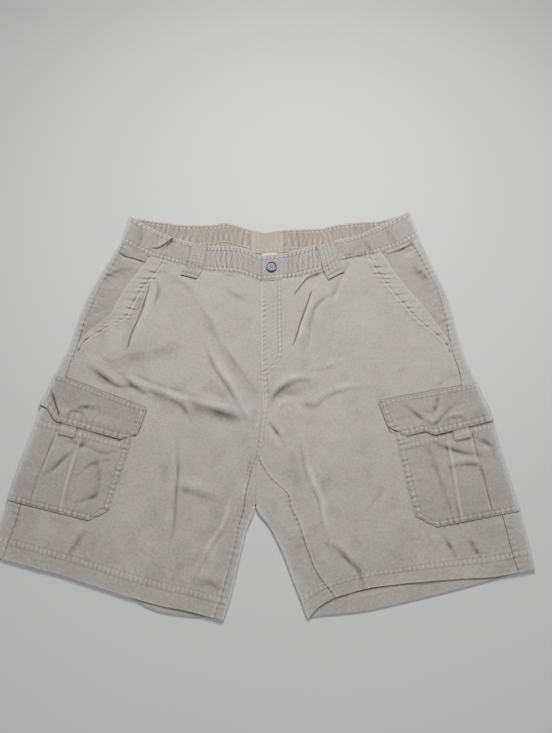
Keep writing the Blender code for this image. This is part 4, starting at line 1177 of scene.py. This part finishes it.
def band_patches(main, facing, inside, relief):
    """The band's face, its lining turned over the top edge, and its closed lower edge."""
    lining = turned(main, "first_row", LINING_ROWS, BAND_CLOTH, facing, inside, 1.1, relief)
    patches = [main, lining, turned(main, "last_row", 2, BAND_CLOTH, facing)]
    # The band's ends turn under darker, as painted shade in the seams beside them.
    for edge in SIDES:
        patches.append(turned(main, edge, 1, BAND_CLOTH, facing, inside, -0.9))
    return patches


for leg in legs:
    row = leg.section(0.0)
    edge = -BACK_PIECE_LEFT - GAP if leg.side == "left" else BACK_PIECE_RIGHT + GAP
    start = under_s(leg, edge)
    end = row["top_span"] + BAND_LAP if leg.side == "left" else row["top_span"] - MM
    s = between(start, end, int(round((end - start) / BAND_CELL)) + 1)
    points = band_surface(leg, ups, s)
    shade = crease_shade(points, BAND_CREASES) * (s > 0) + loop_shade(leg, 0, s)
    main = block(points, s, BAND_DEPTH * MM * ups, 1.3 * bump(ups, 1, 0.03) - shade)
    on_back = 1 - ease(-row["bend"] - 20 * MM, -row["bend"], s)
    patches = band_patches(main, leg.facing, 1, inside_relief(s / MM, 1.0) * on_back)
    made = cloth(f"waistband_{leg.side}_twill", patches, [BAND_TWILL_PAINTED_SHADE, BAND_INSIDE], leg.facing)
    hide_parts(f"waistband_{leg.side}")
    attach(made, "root")
    lines = []
    shares = np.linspace(0, 1, 420)
    whole_row = start + (end - 0.5 * MM - start) * shares
    inside_row = start + (-row["bend"] - start) * shares
    for up in (0.055, 0.19, 0.935):
        lines.append(over(band_surface(leg, up, whole_row)))
        lines.append(over(band_surface(leg, up, inside_row), BAND_CLOTH + SURFACE_OUT))
    stitches(f"waistband_{leg.side}_stitches", lines)

x = np.linspace(-BACK_PIECE_LEFT + GAP, BACK_PIECE_RIGHT - GAP, 54)
columns = []
for at in x:
    leg = left if at < 0 else right
    across = np.full_like(ups, under_s(leg, at))
    relief = band_relief(0.0, across, ups, True) * 0.6
    columns.append(band_place(leg, across, ups, relief)[:, 0])
points = np.stack(columns, 1)
main = block(points, x[None, :], BAND_DEPTH * MM * ups)
from_seam = np.minimum(x + BACK_PIECE_LEFT, BACK_PIECE_RIGHT - x) / MM
seam_rows = sum(bump(from_seam, at, 0.9) for at in (3, 7, 11)) - 1.2 * bump(from_seam, 0.5, 1.2)
relief = inside_relief(x / MM, 0.0) + 0.35 * MM * seam_rows[None, :]
patches = band_patches(main, 1, 1, relief)
made = cloth("waistband_centre_back_twill", patches, [BAND_TWILL_PAINTED_SHADE, BACK_PIECE_INSIDE], 1)
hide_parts("waistband_centre_back")
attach(made, "root")
lines = [points[::-1, pick] for pick in (2, 6, 10, 43, 47, 51)]
lines += [points[pick] for pick in (3, 7, 37)]
lines = [over(line, BAND_CLOTH + SURFACE_OUT) for line in lines]
stitches("waistband_centre_back_stitches", lines)

# ---------------------------------------------------------------------------
# Cargo pockets: bellowed patches of twill that wrap each side fold, with a box
# pleat down the middle and clipped lower corners, double-stitched to the leg.
POCKET_TOP_V = 7.72
POCKET_PUFF, PLEAT_RISE = 2.6 * MM, 0.9 * MM
HALF_PLEAT = 18 * MM
# How far the pleat's outer and inner fold lie to the front, in mm, at top and bottom.
PLEAT_LEAN = {"left": ((4, 1), (4, 11)), "right": ((3, 8), (3, 17))}
TAB_WIDTH, TAB_LOW_V = 24 * MM, 8.36
# A darker copy of the shell's twill, as painted shade for the light falling off towards the
# garment's sides; also of the tabs.
POCKET_TWILL_PAINTED_SHADE = twill("pocket_twill_painted_shade", (0.38, 0.345, 0.315), WORN_EDGE, (0.11, 0.10, 0.09))
# Creases of what lies on the leg, in the same columns as the panels' creases.
POCKET_CREASES = (
    (0.9, 0.7, 7, 1, ((-262, -80), (-285, -98), (-300, -114), (-318, -127))),
    (0.6, 0.2, 7, 1, ((-209, -88), (-233, -92), (-252, -84), (-284, -75))),
    (0.7, 0.3, 6, -1, ((-224, -100), (-247, -106), (-262, -118))),
    (0.6, 0.4, 5, 1, ((-232, -150), (-247, -157), (-262, -162))),
    (0.4, 0.9, 7, 1, ((242, -76), (254, -120), (266, -167))),
    (1.0, 0.6, 6, 1, ((273, -110), (295, -107), (312, -110), (320, -127))),
    (0.8, 0.7, 6, -1, ((248, -76), (269, -85), (288, -91), (311, -96))),
    (0.9, 0.8, 6, -1, ((318, -73), (333, -81), (337, -95))),
    (0.4, 0.6, 7, 1, ((-240, -100), (-232, -130), (-238, -160))),
)


def pleat_folds(leg, v):
    """Where the pleat's outer and inner fold lie, from the side fold over the top."""
    down = np.clip((v - POCKET_TOP_V) / (POCKET_LOW_V - POCKET_TOP_V), 0, 1)
    outer, inner = PLEAT_LEAN[leg.side]
    return (
        POCKET_MIDDLE - HALF_PLEAT + (outer[0] + (outer[1] - outer[0]) * down) * MM,
        POCKET_MIDDLE + HALF_PLEAT + (inner[0] + (inner[1] - inner[0]) * down) * MM,
    )


def pocket_out(s, v, folds=None):
    """A cargo pocket's outer surface over the panel: it puffs a little, its pleat more."""
    out = LAY_GAP + CLOTH + 0 * s
    across = np.sin(math.pi * np.clip(s / (POCKET_MIDDLE + POCKET_WIDTH / 2), 0, 1))
    down = (v - POCKET_TOP_V) / (POCKET_LOW_V - POCKET_TOP_V)
    out = out + POCKET_PUFF * np.maximum(0, across) ** 0.8 * np.sin(math.pi * (0.25 + 0.75 * down))
    if folds:
        outer, inner = folds
        on_pleat = ease(-4 * MM, 2 * MM, s - outer) * (1 - ease(-2 * MM, 4 * MM, s - inner))
        out = out + PLEAT_RISE * on_pleat * ease(8.0, 8.3, v) * (1 - ease(10.8, POCKET_LOW_V, v))
    return out


def raised_on_top(relief, s):
    """A relief that stands up on top, and round the fold and underneath only dents."""
    return np.where(s < 0, np.minimum(relief, 0), relief * ease(-2, 8, s / MM))


def edge_relief(to_end, to_low, along, down, seed):
    """Double rows and puckers just inside a sewn edge, in millimetres."""
    near, at_side = np.minimum(to_end, to_low), to_end < to_low
    wave = np.where(at_side, gathers(down, 9.5, seed), gathers(along, 9.5, seed + 1))
    rows = double_row(near, 2.2, 8, np.where(at_side, down, along), 7, seed)
    return 0.6 * np.minimum(wave, 0.35) * np.exp(-near / 13) + 1.15 * rows


def pocket_surface(leg, v, s):
    to_end, to_low = (pocket_span(v)[1] - s) / MM, (POCKET_LOW_V - v) * POCKET_STEP
    down, along = leg.down(v), s / MM
    relief = edge_relief(to_end, to_low, along, down, 41)
    folds = pleat_folds(leg, v)
    for fold, way, deep in zip(folds, (-1, 1), (0.75, 0.25)):
        line = (s - fold) / MM
        fade = ease(7.9, 8.2, v) * (0.6 + 0.4 * np.sin(down / 13 + 18 * way))
        relief = relief - deep * bump(line, way * 1.5, 1.3) * fade
        relief = relief + 0.25 * bump(line, -way * 1.5, 2) * fade
    inside = ease(0, 14, np.minimum(to_end, to_low))
    relief = relief + 0.35 * gathers(down + 0.4 * along, 31, 43) * inside
    relief = relief + 0.9 * double_row((v - 8.1) * POCKET_STEP, 0, 6.5, along, 6.8, 45)
    out = pocket_out(s, v, folds) + raised_on_top(relief, s) * MM
    return creased(leg.place(v, s, out), POCKET_CREASES, ease(0, 20 * MM, s))


def flap_low(leg, s):
    """A flap's lower edge: the left one's outer corner turns up, the right one's waves."""
    if leg.side == "left":
        return FLAP_LOW_V - 0.36 * (1 - ease(2 * MM, 30 * MM, s))
    return FLAP_LOW_V + 0.1 - 0.19 * ease(86 * MM, 104 * MM, s)


def pocket_wear_and_shade(leg, v, s):
    """Painted shade on the pocket under the flap's lower edge and beside the tab; pale pleat lines.
    """
    from_tab = abs(s - POCKET_MIDDLE) / MM - TAB_WIDTH / MM / 2
    below = (v - flap_low(leg, s)) * FLAP_STEP
    reach = POCKET_MIDDLE + FLAP_WIDTH / 2 - FLAP_CLIP
    shade = 2.2 * bump(below, 1.0, 1.3) * (s < reach) * (from_tab > 0)
    beside = bump(from_tab, 0.8, 1.2) * (v < TAB_LOW_V) * (1 + 1.4 * (s > POCKET_MIDDLE))
    under = 2.4 * bump((v - TAB_LOW_V) * POCKET_STEP, 0.8, 1.2) * (from_tab < 0)
    pleat = bump((s - pleat_folds(leg, v)[1]) / MM, -1.5, 1.3) * ease(8.3, 8.5, v)
    return 0.5 * pleat - shade - beside * (v > FLAP_LOW_V) - under


EDGE_ROWS = (2.2 * MM, 8 * MM)  # stitches in from the edges of pockets and flaps
for leg in legs:
    v = np.linspace(POCKET_TOP_V, POCKET_LOW_V - 0.02, 110)[:, None]
    s = between(*pocket_span(v), 160)
    points = pocket_surface(leg, v, s)
    shade = crease_shade(points, POCKET_CREASES)
    main = block(points, s, -leg.down(v) * MM, pocket_wear_and_shade(leg, v, s) - shade)
    patches = edged(main, ALL_ROUND, 4, CLOTH, leg.facing)
    made = cloth(f"cargo_pocket_{leg.side}_twill", patches, [POCKET_TWILL_PAINTED_SHADE], leg.facing)
    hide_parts(f"cargo_pocket_{leg.side}")
    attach(made, "root")
    lines = []
    for inset in EDGE_ROWS:
        v = np.linspace(POCKET_TOP_V + 0.4, POCKET_LOW_V - inset / MM / POCKET_STEP, 150)
        clipped = np.where(v > POCKET_LOW_V - POCKET_CLIP_V, 1.15, 1.0)
        lines.append(over(pocket_surface(leg, v, pocket_span(v)[1] - inset * clipped)))
        v = np.full(120, v[-1])
        reach = POCKET_MIDDLE + POCKET_WIDTH / 2 - POCKET_CLIP - inset * 0.6
        lines.append(over(pocket_surface(leg, v, np.linspace(0.5 * MM, reach, 120))))
    s = np.linspace(0.5 * MM, 140 * MM, 140)
    lines.append(over(pocket_surface(leg, np.full(140, 8.3), s)))
    stitches(f"cargo_pocket_{leg.side}_stitches", lines)

# ---------------------------------------------------------------------------
# Pocket flaps: doubled twill sewn along their top edge and lying on the pockets,
# with clipped lower corners, and a short pull tab sewn behind each lower edge.
# A darker copy of the shell's twill, as painted shade against the light that the raised flaps
# catch.
FLAP_TWILL_PAINTED_SHADE = twill("flap_twill_painted_shade", (0.335, 0.304, 0.277), WORN_EDGE, (0.10, 0.09, 0.08))
FLAP_DEPTH, FLAP_CLOTH = 60, 1.4 * MM  # the depth in millimetres
EAR = 3 * MM  # how far the left flap's turned-out corner stands past the side fold
FLAP_CREASES = (
    (0.7, 0.6, 5, 1, ((-285, -27), (-267, -21), (-248, -22))),
    (0.7, 0.3, 4, 1, ((-291, -39), (-286, -30), (-270, -30), (-261, -39))),
    (1.5, 0.8, 5, 1, ((-320, 6), (-311, -15), (-302, -34))),
    (0.9, 0.8, 5, 1, ((215, -20), (247, -46), (257, -45), (279, -24))),
    (0.7, 0.6, 5, 1, ((265, -6), (262, -16), (257, -28))),
    (0.7, 0.3, 4, 1, ((271, -49), (275, -40), (296, -38), (300, -46))),
)


def flap_out(s, v):
    """A flap's outer surface over the panel: its lower part lies on the pocket."""
    return LAY_GAP + CLOTH + ease(7.25, 7.68, v) * pocket_out(s, np.maximum(v, POCKET_TOP_V))


def flap_surface(leg, down, s):
    """down is 0 along the flap's top edge and 1 along its lower edge."""
    at_fold, at_end = FLAP_TOP_V[leg.side]
    mid = at_fold + (FLAP_LOW_V - at_fold) * down
    top = at_fold + (at_end - at_fold) * np.maximum(0, s / (POCKET_MIDDLE + FLAP_WIDTH / 2))
    low = flap_low(leg, s)
    v = top + (low - top) * down
    to_end = (flap_span(mid)[1] - s) / MM
    to_low, to_top = (low - v) * FLAP_STEP, (v - top) * FLAP_STEP
    relief = edge_relief(to_end, to_low, s / MM, leg.down(v), 51)
    relief = relief + 0.9 * double_row(to_top, 1.5, 7.5, s / MM, 6.8, 53)
    points = leg.place(v, s, flap_out(s, v) + raised_on_top(relief, s) * MM)
    points = creased(points, FLAP_CREASES, ease(0, 16 * MM, s))
    if leg.side == "left":
        points[..., 0] -= EAR * bump(s, -5.6 * MM, 12 * MM) * ease(0.35, 0.95, down)
    return points


for leg in legs:
    down = np.linspace(0, 0.985, 60)[:, None]
    at_fold, _ = FLAP_TOP_V[leg.side]
    mid = at_fold + (FLAP_LOW_V - at_fold) * down
    s = between(*flap_span(mid), 168)
    points = flap_surface(leg, down, s)
    main = block(points, s, -FLAP_DEPTH * MM * down, -crease_shade(points, FLAP_CREASES))
    patches = edged(main, ALL_ROUND, 5, FLAP_CLOTH, leg.facing)
    made = cloth(f"cargo_flap_{leg.side}_twill", patches, [FLAP_TWILL_PAINTED_SHADE], leg.facing)
    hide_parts(f"cargo_flap_{leg.side}")
    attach(made, "root")
    lines = []
    for inset in EDGE_ROWS:
        down = np.linspace(0.05, 1 - inset / MM / FLAP_DEPTH, 70)
        mid = at_fold + (FLAP_LOW_V - at_fold) * down
        clipped = np.where(mid > FLAP_LOW_V - FLAP_CLIP_V, 1.2, 1.0)
        lines.append(over(flap_surface(leg, down, flap_span(mid)[1] - inset * clipped)))
        reach = POCKET_MIDDLE + FLAP_WIDTH / 2 - FLAP_CLIP - inset * 0.6
        down = np.full(130, down[-1])
        lines.append(over(flap_surface(leg, down, np.linspace(0.5 * MM, reach, 130))))
    s = np.linspace(0.5 * MM, 145 * MM, 130)
    lines.append(over(flap_surface(leg, np.full(130, 5 / FLAP_DEPTH), s)))
    stitches(f"cargo_flap_{leg.side}_stitches", lines)

    v = np.linspace(FLAP_LOW_V - 0.08, TAB_LOW_V - 0.02, 18)[:, None]
    s = POCKET_MIDDLE + (TAB_WIDTH - MM) * np.linspace(-0.5, 0.5, 20)[None, :]
    past_flap = v - flap_low(leg, POCKET_MIDDLE)
    below = -1.6 * MM * (1 - ease(0.04, 0.16, past_flap))
    row_at = bump(v, TAB_LOW_V - 0.07, 0.03) * -0.35 * MM
    main = block(leg.place(v, s, flap_out(s, v) + below + row_at), s, -leg.down(v) * MM)
    patches = edged(main, ("last_row",) + SIDES, 3, CLOTH, leg.facing)
    made = cloth(f"flap_tab_{leg.side}_twill", patches, [POCKET_TWILL_PAINTED_SHADE], leg.facing)
    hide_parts(f"flap_tab_{leg.side}")
    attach(made, "root")

# ---------------------------------------------------------------------------
# Belt loops: five folded strips of twill, each sewn over the band's top edge and
# just below its lower edge, with rows of stitching along them and a folded foot.
LOOP_CLOTH, LOOP_PUFF = 1.2 * MM, 1.4 * MM
LOOP_BEADS = (-9.3, -3.1, 3.1, 9.3)  # raised lines along a loop, in mm from its middle
LOOP_ROWS = (-10.5, -4, 4, 10.5)  # stitches along it
# Each loop's leg, its share of the way from the side fold, and whether it is on top.
LOOPS = {
    "belt_loop_front_left": (left, FRONT_LOOPS["left"], True),
    "belt_loop_front_right": (right, FRONT_LOOPS["right"], True),
    "belt_loop_back_left": (left, 0.17, False),
    "belt_loop_back_right": (right, 0.17, False),
    "belt_loop_centre_back": (right, 0.98, False),
}
# A darker copy of the shell's twill, like the band's, as painted shade.
loop_shell_painted_shade = twill("loop_twill_painted_shade", (0.318, 0.292, 0.262), (0.68, 0.645, 0.59), (0.08, 0.07, 0.06))


def loop_surface(leg, t, s, on_top, middle):
    """t runs in millimetres from the loop's foot, below the band, to its top edge."""
    below = FOOT_V * np.clip(1 - t / LOOP_FOOT, 0, 1)
    up = np.clip((t - LOOP_FOOT) / BAND_DEPTH, 0, 1.01)
    across = (s - middle) / MM
    grid = sum(double_row(across, at - 2.3, at + 2.3, t, 6.2, at) for at in LOOP_BEADS)
    fold = bump(t, 6.5, 1.2) + 0.7 * bump(t + 0.12 * across, LOOP_FOOT + 5, 1.3)
    relief = (0.8 * grid * ease(6, 10, t) - 0.9 * fold + 0.3 * bump(t, 3, 2.5)) * MM
    relief = np.where(on_top, relief, np.minimum(relief - 0.3 * MM, 0))
    out = LAY_GAP + LOOP_CLOTH + relief
    if on_top:
        out = out + LOOP_PUFF * np.sin(math.pi * np.clip(up + below * 1.2, 0, 1))
    step = BAND_PROUD * 0.9 if on_top else 0
    foot = leg.place(below, s, out + step * ease(8, 17, t) - 0.3 * MM * (1 - ease(0, 7, t)))
    strap = band_place(leg, s + 0 * t, up + 0 * s, out)
    return np.where((t < LOOP_FOOT)[..., None], foot, strap)


for name, (leg, share, on_top) in LOOPS.items():
    row = leg.section(0.0)
    middle = row["top_span"] * share if on_top else -row["bend"] - row["under_span"] * share
    t = np.linspace(LOOP_FOOT + BAND_DEPTH * 1.005, 0.6, 50)[:, None]
    s = middle + (LOOP_WIDTH - MM) * np.linspace(-0.5, 0.5, 24)[None, :]
    t_grid, s_grid = np.broadcast_arrays(t, s)
    main = block(loop_surface(leg, t_grid, s_grid, on_top, middle), s_grid, t_grid * MM)
    patches = edged(main, ALL_ROUND, 4, LOOP_CLOTH, leg.facing)
    made = cloth(f"{name}_twill", patches, [loop_shell_painted_shade], leg.facing)
    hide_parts(name)
    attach(made, "root")
    if on_top:
        lines = []
        t = np.linspace(1, LOOP_FOOT + BAND_DEPTH - 1, 90)
        for across in LOOP_ROWS:
            s = np.full(90, middle + across * MM)
            lines.append(over(loop_surface(leg, t, s, on_top, middle)))
        stitches(f"{name}_stitches", lines)

# ---------------------------------------------------------------------------
# Waist button: a stamped metal shank button with a raised rim and a domed
# middle, pushed through the right band over the left.
BUTTON_RADIUS, BUTTON_THICK, BUTTON_X = 9.2 * MM, 2.4 * MM, 13 * MM
SHANK_RADIUS, SHANK_LENGTH = 3.2 * MM, 1.0 * MM
button_metal = drifting(
    "button_metal",
    {"Scale": 420, "Detail": 3},
    (0.05, 0.062, 0.088),
    (0.12, 0.14, 0.175),
    {"Metallic": 0.85},
    rough=(0.3, 0.5),
)
BUTTON_PROFILE = (
    # radius and height as shares of the button's radius and thickness
    (0.0, 0.72), (0.1, 0.71), (0.2, 0.66), (0.27, 0.55), (0.31, 0.4), (0.36, 0.32), (0.45, 0.3),
    (0.55, 0.32), (0.62, 0.38), (0.66, 0.52), (0.7, 0.78), (0.75, 0.92), (0.82, 1.0), (0.9, 0.99),
    (0.96, 0.9), (0.99, 0.76), (1.0, 0.6), (1.0, 0.28), (0.98, 0.12), (0.9, 0.0),
)
seat_row = right.section(0.0)
seat_s = (seat_row["side_x"] - BUTTON_X) / -seat_row["top_dx"] - seat_row["fold"]
seat = band_place(right, np.array([seat_s]), np.array([0.52]))[0]
rings = [(r * BUTTON_RADIUS, z * BUTTON_THICK) for r, z in BUTTON_PROFILE]
rings += [(SHANK_RADIUS, 0.0), (SHANK_RADIUS, -SHANK_LENGTH), (0.0, -SHANK_LENGTH)]
TURNS = 48
button_points = [(0, 0, rings[0][1])]
for radius, height in rings[1:-1]:
    for turn in range(TURNS):
        angle = 2 * math.pi * turn / TURNS
        button_points.append((radius * math.cos(angle), radius * math.sin(angle), height))
button_points.append((0, 0, rings[-1][1]))
last = len(button_points) - 1
button_faces = []
for turn in range(TURNS):
    after = (turn + 1) % TURNS
    button_faces.append((0, 1 + turn, 1 + after))
    button_faces.append((last, last - TURNS + after, last - TURNS + turn))
    for ring in range(len(rings) - 3):
        inner, outer = 1 + ring * TURNS, 1 + (ring + 1) * TURNS
        button_faces.append((inner + turn, outer + turn, outer + after, inner + after))
button_mesh = bpy.data.meshes.new("waist_button_metal")
button_at = np.array(button_points) + seat + np.array((0, 0, SHANK_LENGTH + LAY_GAP))
button_mesh.from_pydata(button_at.tolist(), [], button_faces)
button_mesh.shade_smooth()
button_mesh.materials.append(button_metal)
button = bpy.data.objects.new("waist_button_metal", button_mesh)
bpy.context.scene.collection.objects.link(button)
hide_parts("waist_button")
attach(button, "root")

# ---------------------------------------------------------------------------
# Blank label: a plain white woven tape sewn inside, below the centre-back piece.
LABEL_WIDE, LABEL_DEEP, LABEL_MIDDLE = 30 * MM, 32 * MM, 12 * MM
LABEL_ABOVE_SEAM, LABEL_CLOTH = 4 * MM, 1.0 * MM
BACK_SEAM_Y = 235 * MM  # the waist seam at the middle of the back
tape = drifting(
    "label_tape",
    {"Scale": 300, "Distortion": 0.4},
    (0.78, 0.78, 0.76),
    (0.85, 0.85, 0.83),
    {"Roughness": 0.8},
    kind="ShaderNodeTexWave",
)
label_x = LABEL_MIDDLE + (LABEL_WIDE - MM) * np.linspace(-0.5, 0.5, 24)[None, :]
label_y = BACK_SEAM_Y + LABEL_ABOVE_SEAM + CENTRING
label_y = label_y - LABEL_DEEP * np.linspace(0.07, 0.97, 24)[:, None]
label_y = label_y - 2.2 * MM * ((label_x - LABEL_MIDDLE) / (LABEL_WIDE / 2)) ** 2
label_z = BAND_CLOTH + UNDER_LIFT + LAY_GAP + LABEL_CLOTH
label_bow = 0.25 * MM * np.sin(label_x / (7 * MM)) * np.sin(label_y / (9 * MM))
points = np.stack(np.broadcast_arrays(label_x, label_y, label_z + label_bow), -1)
main = block(points, label_x, label_y)
made = cloth("blank_label_tape", edged(main, ALL_ROUND, 4, LABEL_CLOTH, -1), [tape], -1)
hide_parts("blank_label")
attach(made, "root")

# ---------------------------------------------------------------------------
# Floor, light and camera: a plain pale surface, a large soft light from the
# waist side, a weaker one from the hem side, and the camera tilted to the hem.
FLOOR_REACH, FLOOR_DROP = 3, 0.4 * MM  # metres each way, and how far it is below the part
floor_mesh = bpy.data.meshes.new("floor")
corners = [(x * FLOOR_REACH, y * FLOOR_REACH, 0) for x, y in ((-1, -1), (1, -1), (1, 1), (-1, 1))]
floor_mesh.from_pydata(corners, [], [(0, 1, 2, 3)])
floor = bpy.data.objects.new("floor", floor_mesh)
floor.location.z = -FLOOR_DROP
bpy.context.scene.collection.objects.link(floor)
paper_colours = (0.78, 0.78, 0.77), (0.81, 0.81, 0.80)
paper = drifting("pale_paper", {"Scale": 3}, *paper_colours, {"Roughness": 0.9})
floor_mesh.materials.append(paper)


def soft_light(name, place, aim, size, power, colour):
    """A rectangular light that faces a point, in metres and watts."""
    lamp = bpy.data.lights.new(name, "AREA")
    lamp.shape = "RECTANGLE"
    lamp.size, lamp.size_y = size
    lamp.energy = power
    lamp.color = colour
    made = bpy.data.objects.new(name, lamp)
    x, y, z = (a - b for a, b in zip(aim, place))
    made.location = place
    made.rotation_euler = (math.atan2(math.hypot(x, y), -z), 0, math.atan2(-x, y))
    bpy.context.scene.collection.objects.link(made)


soft_light("key", (0.09, 0.54, 0.74), (0.03, -0.04, 0), (0.4, 0.3), 10.8, (1.0, 0.985, 0.965))
soft_light("fill", (0.0, -1.2, 1.3), (0, 0, 0), (1.6, 1.0), 4, (0.96, 0.98, 1.0))
world = bpy.data.worlds.new("studio")
world.use_nodes = True
world.node_tree.nodes["Background"].inputs["Color"].default_value = (0.9, 0.92, 0.95, 1)
world.node_tree.nodes["Background"].inputs["Strength"].default_value = 0.26
bpy.context.scene.world = world

camera_data = bpy.data.cameras.new("camera")
camera_data.lens = 27.2
camera_data.sensor_width = 36
camera = bpy.data.objects.new("camera", camera_data)
camera.location = (0.020, -0.2205, 0.814)
camera.rotation_euler = (math.radians(18), 0, 0)
bpy.context.scene.collection.objects.link(camera)
bpy.context.scene.camera = camera
